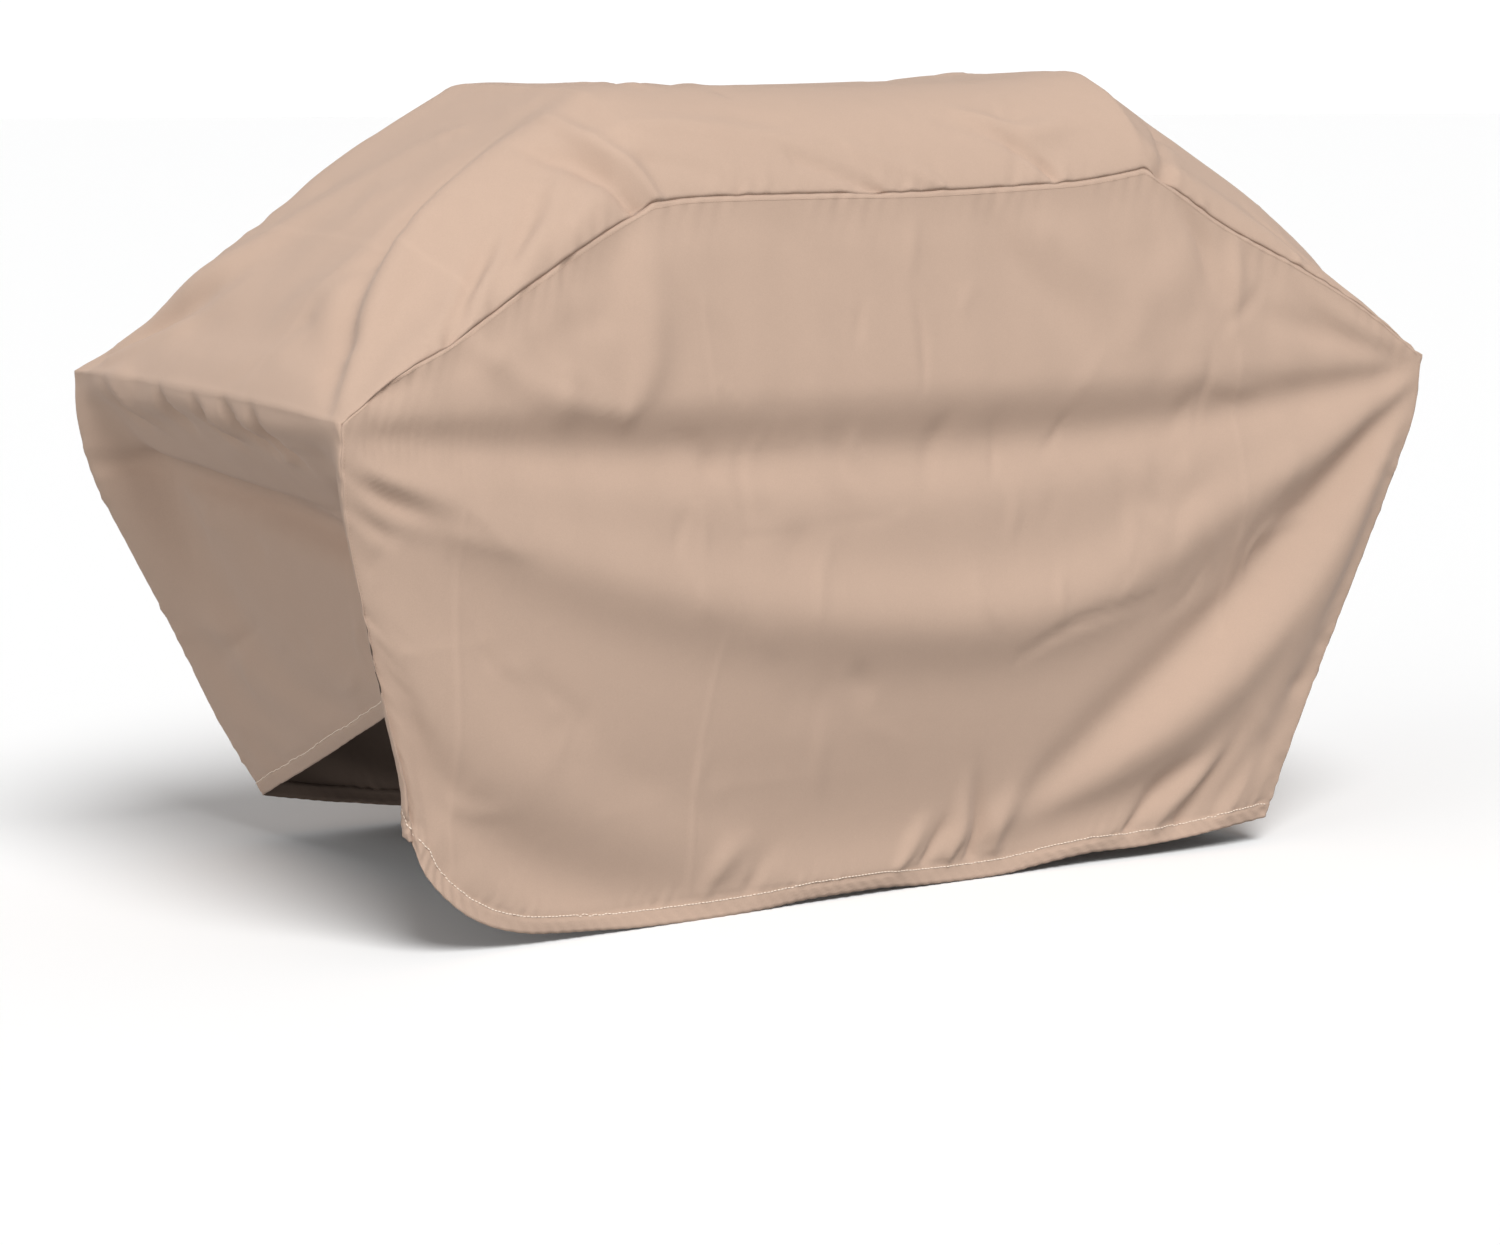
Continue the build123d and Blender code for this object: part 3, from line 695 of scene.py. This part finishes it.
backCreases = [
    [(-0.400, 0.060, 0.0008, 0.004), (-0.402, 0.300, 0.0010, 0.004), (-0.398, 0.520, 0.0006, 0.004)],
    [(0.060, 0.040, 0.0008, 0.004), (0.058, 0.300, 0.0010, 0.004), (0.060, 0.760, 0.0006, 0.004)],
    [(-0.400, 0.300, 0.0008, 0.004), (0.060, 0.304, 0.0010, 0.004), (0.420, 0.300, 0.0006, 0.004)],
]
wrapCreases = [
    [(-0.350, -0.120, 0.0008, 0.004), (-0.100, -0.118, 0.0010, 0.004), (0.440, -0.116, 0.0008, 0.004)],
    [(0.230, -0.300, 0.0006, 0.004), (0.232, 0.000, 0.0010, 0.004), (0.230, 0.300, 0.0006, 0.004)],
    [(0.540, 0.060, 0.0008, 0.004), (1.100, 0.062, 0.0008, 0.004)],
]


def unit(vectors):
    return vectors / np.maximum(np.linalg.norm(vectors, axis=-1, keepdims=True), 1e-9)


def gridNormals(name, grid):
    # the way out of the cloth at every point
    out = np.cross(np.gradient(grid, axis=1), np.gradient(grid, axis=0))
    out = unit(out) * (1 if name == "front" else -1)
    if name != "wrap":
        out[..., 1] += 0.4 * (-1 if name == "front" else 1)      # steadies the thin corner of the lobe
    return unit(out)


def runLength(grid, axis):
    # distance along the cloth from the first line
    step = np.linalg.norm(np.diff(grid, axis=axis), axis=-1)
    return np.concatenate([np.zeros_like(np.take(step, [0], axis)), np.cumsum(step, axis)], axis)


def layFolds(across, up, folds, samples=140):
    # height that the folds add at each point, and a mask of where they are
    height, mask = np.zeros(across.size), np.zeros(across.size)
    spot = np.stack([across.ravel(), up.ravel()], axis=1)
    for fold in folds:
        line = curveThrough(fold, samples)
        reach = 3 * line[:, 3].max()
        low, high = line[:, :2].min(0) - reach, line[:, :2].max(0) + reach
        close = np.where(((spot > low) & (spot < high)).all(1))[0]
        gap = ((spot[close, None] - line[None, :, :2]) ** 2).sum(-1)
        nearest = gap.argmin(1)
        shape = np.exp(-gap[np.arange(len(close)), nearest] / line[nearest, 3] ** 2)
        height[close] += line[nearest, 2] * shape
        mask[close] = np.maximum(mask[close], shape)
    return height.reshape(across.shape), mask.reshape(across.shape)


def smallFolds(count, seed, low, high):
    # short soft folds scattered over the cloth, each fading at both ends
    draw = np.random.RandomState(seed)
    made = []
    for _ in range(count):
        centre = draw.uniform(low, high)
        # they lean towards the nearer upper corner, as the cloth is pulled from there
        turn = math.atan2(0.6, centre[0]) + draw.normal(0, 0.55)
        reach = draw.uniform(0.02, 0.07) * np.array([math.cos(turn), math.sin(turn)])
        bow = draw.normal(0, 0.012)
        height = draw.choice([-1, 1]) * draw.uniform(0.0008, 0.0026)
        width = draw.uniform(0.006, 0.018)
        middle = centre + bow * np.array([-reach[1], reach[0]]) / np.linalg.norm(reach)
        made.append([(*(centre - reach), 0, width), (*middle, height, width), (*(centre + reach), 0, width)])
    return made


frontFolds += smallFolds(90, 21, (-0.62, 0.10), (0.60, 0.78))
backFolds += smallFolds(90, 22, (-0.62, 0.10), (0.60, 0.78))
leftFolds += smallFolds(46, 23, (-0.42, -0.30), (0.46, 0.30))
leftFolds += smallFolds(20, 24, (0.46, -0.27), (0.85, 0.27))
rightFolds += smallFolds(46, 25, (-0.42, -0.30), (0.46, 0.30))
rightFolds += smallFolds(16, 26, (0.46, -0.27), (0.80, 0.27))

# what the heights in the lists are multiplied by
foldStrength = dict(front=1.25, back=1.15, wrap=1.45)


seamPlan = dict(
    groove=0.0008, grooveWidth=0.0030,
    sink=0.0015,            # the sewn edge lies this far inside the cloth beside it
    pucker=0.0018, puckerLength=0.032, puckerReach=0.024,
)
hemPlan = dict(
    stitch=0.019,
    groove=0.0010, ripple=0.0012, rippleLength=0.017,
    pucker=0.0010, puckerLength=0.026, puckerReach=0.016,
    rows=46,
)
lobePlan = dict(roll=0.006, rollWidth=0.020)


def puckers(run, gap, plan, seed):
    # small folds that stand on a seam and fade away from it
    draw = np.random.RandomState(seed)
    waves = 0
    for share in (0.7, 1.0, 1.7):
        lean, phase = draw.uniform(-0.9, 0.9), draw.uniform(0, 2 * math.pi)
        waves = waves + np.sin(2 * math.pi * (run + lean * gap) / (share * plan["puckerLength"]) + phase)
    patches = 0.55 + 0.45 * np.sin(2 * math.pi * run / 0.21 + draw.uniform(0, 6))
    return plan["pucker"] * 0.5 * waves * patches * np.exp(-gap / plan["puckerReach"])


def seamRelief(name, grid):
    alongRows, alongColumns = runLength(grid, 0), runLength(grid, 1)
    fromRight = alongColumns[:, -1:] - alongColumns
    sides = [(alongRows, alongColumns, 1), (alongRows, fromRight, 2)]
    if name != "wrap":
        sides.append((alongColumns, alongRows[-1:] - alongRows, 3))
    relief = np.zeros(grid.shape[:2])
    for run, gap, seed in sides:
        relief += puckers(run, gap, seamPlan, seed + 10 * len(name))
        relief -= seamPlan["groove"] * bump(gap, 0, seamPlan["grooveWidth"])
    return relief


def hemRelief(grid, seed):
    # the stitched band along the first line, rippled on a slant, with puckers above the stitching
    relief = np.zeros(grid.shape[:2])
    edge = grid[0]
    run = runLength(edge[None], 1)[0]
    fineRun = np.linspace(0, run[-1], 3 * len(run))
    fine = np.stack([np.interp(fineRun, run, edge[:, k]) for k in range(3)], axis=1)
    for r in range(hemPlan["rows"]):
        gaps = np.linalg.norm(grid[r][:, None] - fine[None], axis=-1)
        gap, along = gaps.min(1), fineRun[gaps.argmin(1)]
        band = 1 - smoothStep(gap, hemPlan["stitch"] - 0.003, hemPlan["stitch"])
        wander = 2.2 * np.sin(along * 23)
        slant = np.sin(2 * math.pi * (along / hemPlan["rippleLength"] + gap / 0.016) + wander)
        relief[r] += hemPlan["ripple"] * (0.6 + 0.7 * slant) * band
        relief[r] -= hemPlan["groove"] * bump(gap, hemPlan["stitch"], 0.0028)
        above = np.clip(gap - hemPlan["stitch"], 0, None)
        relief[r] += puckers(along, above, hemPlan, seed) * (1 - band)
    return relief


def finishGrid(name, grid):
    # folds, seams and hem together, laid along the way out of the cloth
    normals = gridNormals(name, grid)
    relief = seamRelief(name, grid)
    if name == "wrap":
        run = runLength(grid, 0)
        y = grid[..., 1]
        leftRun = run - run[fallLines - 1][None]
        rightRun = run[-fallLines][None] - run
        half = len(grid) // 2
        folds, creases = np.zeros(y.shape), np.zeros(y.shape)
        mask = np.zeros(y.shape)
        # the left end's folds reach a little past the middle of the hood
        leftPart, rightPart = slice(0, half + topLines // 4), slice(half, None)
        for part, start, foldList in ((leftPart, leftRun, leftFolds), (rightPart, rightRun, rightFolds)):
            added, _ = layFolds(start[part], y[part], foldList)
            folds[part] += added
        for start, part in ((leftRun, slice(0, half)), (rightRun, rightPart)):
            added, seen = layFolds(start[part], y[part], wrapCreases)
            creases[part] += added
            mask[part] = np.maximum(mask[part], seen)
        relief += foldStrength["wrap"] * folds + creases
        relief += hemRelief(grid, 5) + hemRelief(grid[::-1], 6)[::-1]
    else:
        folds, _ = layFolds(grid[..., 0], grid[..., 2], frontFolds if name == "front" else backFolds)
        creases, mask = layFolds(grid[..., 0], grid[..., 2], frontCreases if name == "front" else backCreases)
        # the folds die down towards the two side seams, which stay where they are
        across = runLength(grid, 1)
        fromSide = np.minimum(across, across[:, -1:] - across)
        folds *= 0.25 + 0.75 * smoothStep(fromSide, 0, 0.045)
        relief += foldStrength[name] * folds + creases + hemRelief(grid, 7 if name == "front" else 8)
        if name == "front":
            # the free side of the lobe rolls back over the left end
            gap = runLength(grid, 1)
            below = 1 - smoothStep(grid[..., 2], 0.25, 0.50)
            relief -= lobePlan["roll"] * bump(gap, 0, lobePlan["rollWidth"]) * below
    return grid + normals * relief[..., None], mask


creaseMasks = {}
for name in grids:
    grids[name], creaseMasks[name] = finishGrid(name, grids[name])


def sewTogether(grids):
    # both cloths turn in along a seam and meet on one line inside
    normals = {name: gridNormals(name, grid) for name, grid in grids.items()}
    wrap, wrapOut = grids["wrap"], normals["wrap"]
    for side, column in (("front", 0), ("back", -1)):
        panel, out = grids[side], normals[side]
        top = slice(fallLines - 1, fallLines - 1 + topLines)
        for spot, station in (
            ((slice(None), 0), slice(0, fallLines)),
            ((slice(None), -1), slice(None, -fallLines - 1, -1)),
            ((-1, slice(None)), top),
        ):
            inwards = unit(out[spot] + wrapOut[station, column])
            line = (panel[spot] + wrap[station, column]) / 2 - seamPlan["sink"] * inwards
            panel[spot] = line
            wrap[station, column] = line


sewTogether(grids)
print("folds, seams and hems made")

# materials

finishPlan = dict(
    cloth=dict(colour=(0.510, 0.366, 0.282), mottle=0.10, weave=0.0011, bumpHeight=0.00012),
    # the backing is a coated inner layer, and its dark colour is partly painted shade that stands for the
    # shadow inside the cover
    backing=dict(colour=(0.120, 0.085, 0.066), mottle=0.12, weave=0.0011, bumpHeight=0.00010),
    thread=dict(colour=(0.860, 0.730, 0.610), mottle=0.08),
    seamThread=dict(colour=(0.560, 0.410, 0.315), mottle=0.10),
)


def newGroup(name, inputs, outputs):
    group = bpy.data.node_groups.new(name, "ShaderNodeTree")
    for socket, kind, value in inputs:
        made = group.interface.new_socket(socket, in_out="INPUT", socket_type=kind)
        made.default_value = value
    for socket, kind in outputs:
        group.interface.new_socket(socket, in_out="OUTPUT", socket_type=kind)
    return group, group.nodes.new("NodeGroupInput"), group.nodes.new("NodeGroupOutput")


def mathNode(tree, operation, first, second=None):
    node = tree.nodes.new("ShaderNodeMath")
    node.operation = operation
    for socket, value in zip(node.inputs, (first, second)):
        if isinstance(value, bpy.types.NodeSocket):
            tree.links.new(value, socket)
        elif value is not None:
            socket.default_value = value
    return node.outputs[0]


def fibreToneGroup():
    # dye and fibre variation: broad soft patches, small blotches and fine grain
    group, start, end = newGroup(
        "fibreTone",
        [("Colour", "NodeSocketColor", (0.5, 0.4, 0.3, 1)), ("Mottle", "NodeSocketFloat", 0.1)],
        [("Colour", "NodeSocketColor"), ("Roughness", "NodeSocketFloat")],
    )
    place = group.nodes.new("ShaderNodeTexCoord")
    total = None
    for scale, detail, share in ((3.2, 2, 0.50), (38, 3, 0.35), (720, 1, 1.15)):
        noise = group.nodes.new("ShaderNodeTexNoise")
        noise.inputs["Scale"].default_value = scale
        noise.inputs["Detail"].default_value = detail
        group.links.new(place.outputs["Object"], noise.inputs["Vector"])
        part = mathNode(group, "MULTIPLY", mathNode(group, "SUBTRACT", noise.outputs["Fac"], 0.5), share)
        total = part if total is None else mathNode(group, "ADD", total, part)
    tone = mathNode(group, "ADD", mathNode(group, "MULTIPLY", total, start.outputs["Mottle"]), 1)
    scaled = group.nodes.new("ShaderNodeVectorMath")
    scaled.operation = "SCALE"
    group.links.new(start.outputs["Colour"], scaled.inputs[0])
    group.links.new(tone, scaled.inputs["Scale"])
    group.links.new(scaled.outputs[0], end.inputs["Colour"])
    roughness = mathNode(group, "ADD", mathNode(group, "MULTIPLY", total, 0.12), 0.86)
    group.links.new(roughness, end.inputs["Roughness"])
    return group


def plainWeaveGroup():
    # threads that cross over and under each other, in the cloth's own flat measure
    group, start, end = newGroup(
        "plainWeave", [("Pitch", "NodeSocketFloat", 0.001)], [("Height", "NodeSocketFloat")],
    )
    cut = group.nodes.new("ShaderNodeUVMap")
    cut.uv_map = "cut"
    split = group.nodes.new("ShaderNodeSeparateXYZ")
    group.links.new(cut.outputs["UV"], split.inputs[0])
    turn = mathNode(group, "DIVIDE", math.pi, start.outputs["Pitch"])
    warp = mathNode(group, "SINE", mathNode(group, "MULTIPLY", split.outputs["X"], turn))
    weft = mathNode(group, "SINE", mathNode(group, "MULTIPLY", split.outputs["Y"], turn))
    over = mathNode(group, "GREATER_THAN", mathNode(group, "MULTIPLY", warp, weft), 0)
    mix = group.nodes.new("ShaderNodeMix")
    group.links.new(over, mix.inputs["Factor"])
    group.links.new(mathNode(group, "MULTIPLY", weft, weft), mix.inputs["A"])
    group.links.new(mathNode(group, "MULTIPLY", warp, warp), mix.inputs["B"])
    group.links.new(mix.outputs["Result"], end.inputs["Height"])
    return group


fibreTone, plainWeave = fibreToneGroup(), plainWeaveGroup()


def newMaterial(name, plan, sheen):
    # a fabric finish with its fibre tone in place; returns its tree, shader and tone node
    material = bpy.data.materials.new(name)
    material.use_nodes = True
    tree = material.node_tree
    shader = tree.nodes["Principled BSDF"]
    shader.inputs["Specular IOR Level"].default_value = 0.22
    shader.inputs["Sheen Weight"].default_value = sheen
    shader.inputs["Sheen Roughness"].default_value = 0.45
    tone = tree.nodes.new("ShaderNodeGroup")
    tone.node_tree = fibreTone
    tone.inputs["Colour"].default_value = (*plan["colour"], 1)
    tone.inputs["Mottle"].default_value = plan["mottle"]
    tree.links.new(tone.outputs["Colour"], shader.inputs["Base Color"])
    tree.links.new(tone.outputs["Roughness"], shader.inputs["Roughness"])
    return material, tree, shader, tone


def wovenMaterial(name, plan, sheen, worn):
    material, tree, shader, tone = newMaterial(name, plan, sheen)
    weave = tree.nodes.new("ShaderNodeGroup")
    weave.node_tree = plainWeave
    weave.inputs["Pitch"].default_value = plan["weave"]
    relief = tree.nodes.new("ShaderNodeBump")
    relief.inputs["Distance"].default_value = plan["bumpHeight"]
    relief.inputs["Strength"].default_value = 0.6
    tree.links.new(weave.outputs["Height"], relief.inputs["Height"])
    tree.links.new(relief.outputs["Normal"], shader.inputs["Normal"])
    if worn:
        # packing creases are rubbed a little paler
        mark = tree.nodes.new("ShaderNodeAttribute")
        mark.attribute_name = "crease"
        mix = tree.nodes.new("ShaderNodeMix")
        mix.data_type = "RGBA"
        mix.inputs["B"].default_value = (*[min(1, c * worn) for c in plan["colour"]], 1)
        tree.links.new(mathNode(tree, "MULTIPLY", mark.outputs["Fac"], 0.22), mix.inputs["Factor"])
        tree.links.new(tone.outputs["Colour"], mix.inputs["A"])
        tree.links.new(mix.outputs["Result"], shader.inputs["Base Color"])
    return material


def threadMaterial(name, plan):
    material, tree, shader, _ = newMaterial(name, plan, 0.1)
    place = tree.nodes.new("ShaderNodeTexCoord")
    twist = tree.nodes.new("ShaderNodeTexWave")
    twist.bands_direction = "DIAGONAL"
    twist.inputs["Scale"].default_value = 260
    relief = tree.nodes.new("ShaderNodeBump")
    relief.inputs["Distance"].default_value = 0.0002
    relief.inputs["Strength"].default_value = 0.5
    tree.links.new(place.outputs["Object"], twist.inputs["Vector"])
    tree.links.new(twist.outputs["Fac"], relief.inputs["Height"])
    tree.links.new(relief.outputs["Normal"], shader.inputs["Normal"])
    return material


tanCloth = wovenMaterial("tanCloth", finishPlan["cloth"], 0.12, 1.18)
backingWithPaintedShade = wovenMaterial("backingWithPaintedShade", finishPlan["backing"], 0.0, 0)
paleThread = threadMaterial("paleThread", finishPlan["thread"])
tanThread = threadMaterial("tanThread", finishPlan["seamThread"])
print("materials made")

# meshes


def plainCopy(piece):
    # the piece with its modifiers applied, as a plain mesh at the origin
    shaped = piece.evaluated_get(bpy.context.evaluated_depsgraph_get())
    mesh = bpy.data.meshes.new_from_object(shaped, depsgraph=bpy.context.evaluated_depsgraph_get())
    old = piece.data
    piece.modifiers.clear()
    piece.data = mesh
    bpy.data.batch_remove([old])
    mesh.name = piece.name
    return piece


def clothMesh(name, grid, flip, thickness, crease=None):
    # a sheet of cloth with its own thickness inside the given surface, and its cut laid flat as a UV map
    number = np.arange(grid.shape[0] * grid.shape[1]).reshape(grid.shape[:2])
    faces = gridFaces(number, flip)
    mesh = bpy.data.meshes.new(name)
    mesh.from_pydata(grid.reshape(-1, 3).tolist(), [], faces.tolist())
    mesh.polygons.foreach_set("use_smooth", np.ones(len(faces), bool))
    flat = np.stack([runLength(grid, 1), runLength(grid, 0)], axis=-1).reshape(-1, 2)
    layer = mesh.uv_layers.new(name="cut")
    layer.data.foreach_set("uv", flat[faces.ravel()].ravel())
    if crease is not None:
        mark = mesh.attributes.new("crease", "FLOAT", "POINT")
        mark.data.foreach_set("value", crease.ravel())
    mesh.materials.append(tanCloth)
    mesh.materials.append(backingWithPaintedShade)
    piece = bpy.data.objects.new(name, mesh)
    scene.collection.objects.link(piece)
    wall = piece.modifiers.new("wall", "SOLIDIFY")
    wall.thickness = thickness
    wall.offset = -1
    wall.use_quality_normals = True
    # the inner face takes the backing colour, which is partly painted shade for the inside of the cover
    wall.material_offset = 1
    return plainCopy(piece)


clothThickness = 0.0010
panels = {
    "front": clothMesh("frontPanel", grids["front"], False, clothThickness, creaseMasks["front"]),
    "back": clothMesh("backPanel", grids["back"], True, clothThickness, creaseMasks["back"]),
    "wrap": clothMesh("wrapPanel", grids["wrap"], True, clothThickness, creaseMasks["wrap"]),
}
print("cloth meshes made")

# the turned-up layers inside the hem


def hemSurface(name, first):
    # the hem edge of a piece, with the way out and the way up the cloth along it
    grid = grids[name] if first else grids[name][::-1]
    out = gridNormals(name, grids[name])
    out = out if first else out[::-1]
    edge = grid[0]
    along = unit(np.gradient(edge, axis=0))
    up = np.cross(along, out[0])
    up *= np.sign((up * (grid[6] - grid[0])).sum(-1).mean())
    return grid, edge, out, evened(unit(up), 8)


def evened(line, rounds):
    # a line of points or ways, smoothed along its length with its ends kept
    line = line.copy()
    for _ in range(rounds):
        line[1:-1] = (line[:-2] + 2 * line[1:-1] + line[2:]) / 4
    return line


def onCloth(grid, out, points):
    # the nearest place on the cloth to each point, and the way out there
    number = np.arange(grid[..., 0].size).reshape(grid.shape[:2])
    tree = BVHTree.FromPolygons(grid.reshape(-1, 3).tolist(), gridFaces(number, False).tolist())
    middle = unit(out.reshape(-1, 3))
    places, ways = [], []
    for point in points.reshape(-1, 3):
        spot, _, face, _ = tree.find_nearest(Vector(point))
        row, column = divmod(face, grid.shape[1] - 1)
        places.append(spot[:])
        ways.append(middle[row * grid.shape[1] + column])
    return np.array(places).reshape(points.shape), np.array(ways).reshape(points.shape)


hemEnds = dict(
    frontHem=("front", True), backHem=("back", True),
    leftHem=("wrap", True), rightHem=("wrap", False),
)
hemLayerPlan = dict(steps=(0.0012, 0.006, 0.011, 0.016, 0.0215), thickness=0.0008, gap=0.0006, stop=2)
hemPieces, stitchLines = {}, {}
for hemName, (owner, first) in hemEnds.items():
    grid, edge, out, up = hemSurface(owner, first)
    rows = hemPlan["rows"]
    steps = np.array(hemLayerPlan["steps"])[:, None, None]
    part = slice(hemLayerPlan["stop"], len(edge) - hemLayerPlan["stop"])
    places, ways = onCloth(grid[:rows], out[:rows], edge[None, part] + steps * up[None, part])
    inner = places - ways * (clothThickness + hemLayerPlan["gap"])
    inner = np.stack([evened(row, 2) for row in inner])
    facing = np.cross(inner[0, 1] - inner[0, 0], inner[1, 0] - inner[0, 0]) @ ways[0, 0]
    hemPieces[hemName] = clothMesh(hemName, inner, facing < 0, hemLayerPlan["thickness"])
    line = (edge + hemPlan["stitch"] * up)[part]
    if hemName == "frontHem":
        line = np.vstack([grid[6, 1], line])        # the row of stitches runs out to the side of the lobe
    line = evened(line, 4)
    finer = cubicRows(len(line), np.linspace(0, 1, 4 * len(line)))
    places, ways = onCloth(grid[:rows], out[:rows], (finer @ line)[None])
    stitchLines[hemName] = (evened(places[0], 3), evened(ways[0], 6))
print("hems made")

# stitches

stitchPlan = dict(
    hem=dict(length=0.0045, pitch=0.0047, width=0.0015, rise=0.0012, wobble=0.05),
    seam=dict(length=0.0030, pitch=0.0040, width=0.0008, rise=0.0006, wobble=0.10),
)


def stitchTree(material):
    # stitches along an edge: evenly pitched, turned along the line, standing on the cloth
    tree = bpy.data.node_groups.new("stitches", "GeometryNodeTree")
    face = tree.interface
    face.new_socket("Geometry", in_out="INPUT", socket_type="NodeSocketGeometry")
    for socket in ("Length", "Pitch", "Width", "Rise", "Wobble"):
        face.new_socket(socket, in_out="INPUT", socket_type="NodeSocketFloat")
    face.new_socket("Seed", in_out="INPUT", socket_type="NodeSocketInt")
    face.new_socket("Geometry", in_out="OUTPUT", socket_type="NodeSocketGeometry")

    def add(kind, **links):
        node = tree.nodes.new(kind)
        for socket, source in links.items():
            tree.links.new(source, node.inputs[socket.replace("_", " ")])
        return node

    start = tree.nodes.new("NodeGroupInput")
    curve = add("GeometryNodeMeshToCurve", Mesh=start.outputs["Geometry"])
    spaced = add("GeometryNodeResampleCurve", Curve=curve.outputs[0])
    spaced.mode = "LENGTH"
    tree.links.new(start.outputs["Pitch"], spaced.inputs["Length"])
    tangent = tree.nodes.new("GeometryNodeInputTangent")
    lift = tree.nodes.new("GeometryNodeInputNamedAttribute")
    lift.data_type = "FLOAT_VECTOR"
    lift.inputs["Name"].default_value = "lift"
    turned = add("FunctionNodeAlignRotationToVector", Vector=tangent.outputs[0])
    turned.axis = "X"
    stood = add(
        "FunctionNodeAlignRotationToVector", Rotation=turned.outputs[0], Vector=lift.outputs["Attribute"],
    )
    stood.axis = "Z"
    stood.pivot_axis = "X"
    chance = add("FunctionNodeRandomValue", Seed=start.outputs["Seed"])
    tree.links.new(start.outputs["Wobble"], chance.inputs[3])
    wobble = tree.nodes.new("ShaderNodeCombineXYZ")
    tree.links.new(chance.outputs[1], wobble.inputs["Z"])
    nudged = add("FunctionNodeRotateRotation", Rotation=stood.outputs[0], Rotate_By=wobble.outputs[0])
    nudged.rotation_space = "LOCAL"
    bead = tree.nodes.new("GeometryNodeMeshUVSphere")
    bead.inputs["Segments"].default_value = 8
    bead.inputs["Rings"].default_value = 5
    bead.inputs["Radius"].default_value = 0.5
    size = tree.nodes.new("ShaderNodeCombineXYZ")
    for axis, socket in zip("XYZ", ("Length", "Width", "Rise")):
        tree.links.new(start.outputs[socket], size.inputs[axis])
    placed = add(
        "GeometryNodeInstanceOnPoints", Points=spaced.outputs[0], Instance=bead.outputs["Mesh"],
        Rotation=nudged.outputs[0], Scale=size.outputs[0],
    )
    real = add("GeometryNodeRealizeInstances", Geometry=placed.outputs[0])
    smooth = add("GeometryNodeSetShadeSmooth", Geometry=real.outputs[0])
    paint = add("GeometryNodeSetMaterial", Geometry=smooth.outputs[0])
    paint.inputs["Material"].default_value = material
    end = tree.nodes.new("NodeGroupOutput")
    tree.links.new(paint.outputs[0], end.inputs["Geometry"])
    return tree


def stitchPiece(name, lines, tree, plan, seed):
    # lines are pairs of the places and the ways out of the cloth along each row of stitches
    points, links, lifts = [], [], []
    for places, ways in lines:
        first = len(points)
        points += (places + ways * 0.0003).tolist()
        lifts += ways.tolist()
        links += [(first + k, first + k + 1) for k in range(len(places) - 1)]
    mesh = bpy.data.meshes.new(name)
    mesh.from_pydata(points, links, [])
    mark = mesh.attributes.new("lift", "FLOAT_VECTOR", "POINT")
    mark.data.foreach_set("vector", np.array(lifts).ravel())
    piece = bpy.data.objects.new(name, mesh)
    scene.collection.objects.link(piece)
    row = piece.modifiers.new("stitches", "NODES")
    row.node_group = tree
    values = dict(Length="length", Pitch="pitch", Width="width", Rise="rise", Wobble="wobble")
    for item in tree.interface.items_tree:
        if item.in_out == "INPUT" and item.name in values:
            row[item.identifier] = plan[values[item.name]]
        elif item.in_out == "INPUT" and item.name == "Seed":
            row[item.identifier] = seed
    return plainCopy(piece)


hemStitches, seamStitches = stitchTree(paleThread), stitchTree(tanThread)
threads = {}
for seed, (hemName, line) in enumerate(stitchLines.items()):
    threads[hemName] = stitchPiece(hemName + "Thread", [line], hemStitches, stitchPlan["hem"], seed)
for seed, side in ((11, "front"), (12, "back")):
    grid, out = grids[side], gridNormals(side, grids[side])
    start = hemPlan["rows"] // 4
    spots = ((slice(start, -4), 2), (-3, slice(4, -4)), (slice(start, -4), -3))
    rows = [(grid[spot], out[spot]) for spot in spots]
    threads[side] = stitchPiece(side + "SeamThread", rows, seamStitches, stitchPlan["seam"], seed)
print("stitches made:", sum(len(piece.data.polygons) for piece in threads.values()), "faces")

# what each piece stands for

standsFor = {
    "front_panel": panels["front"], "back_panel": panels["back"], "wrap_panel": panels["wrap"],
    "front_hem": hemPieces["frontHem"], "back_hem": hemPieces["backHem"],
    "left_hem": hemPieces["leftHem"], "right_hem": hemPieces["rightHem"],
    "front_hem_thread": threads["frontHem"], "back_hem_thread": threads["backHem"],
    "left_hem_thread": threads["leftHem"], "right_hem_thread": threads["rightHem"],
    "front_seam_thread": threads["front"], "back_seam_thread": threads["back"],
}
for node, piece in standsFor.items():
    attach(piece, "root")
    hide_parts(node)
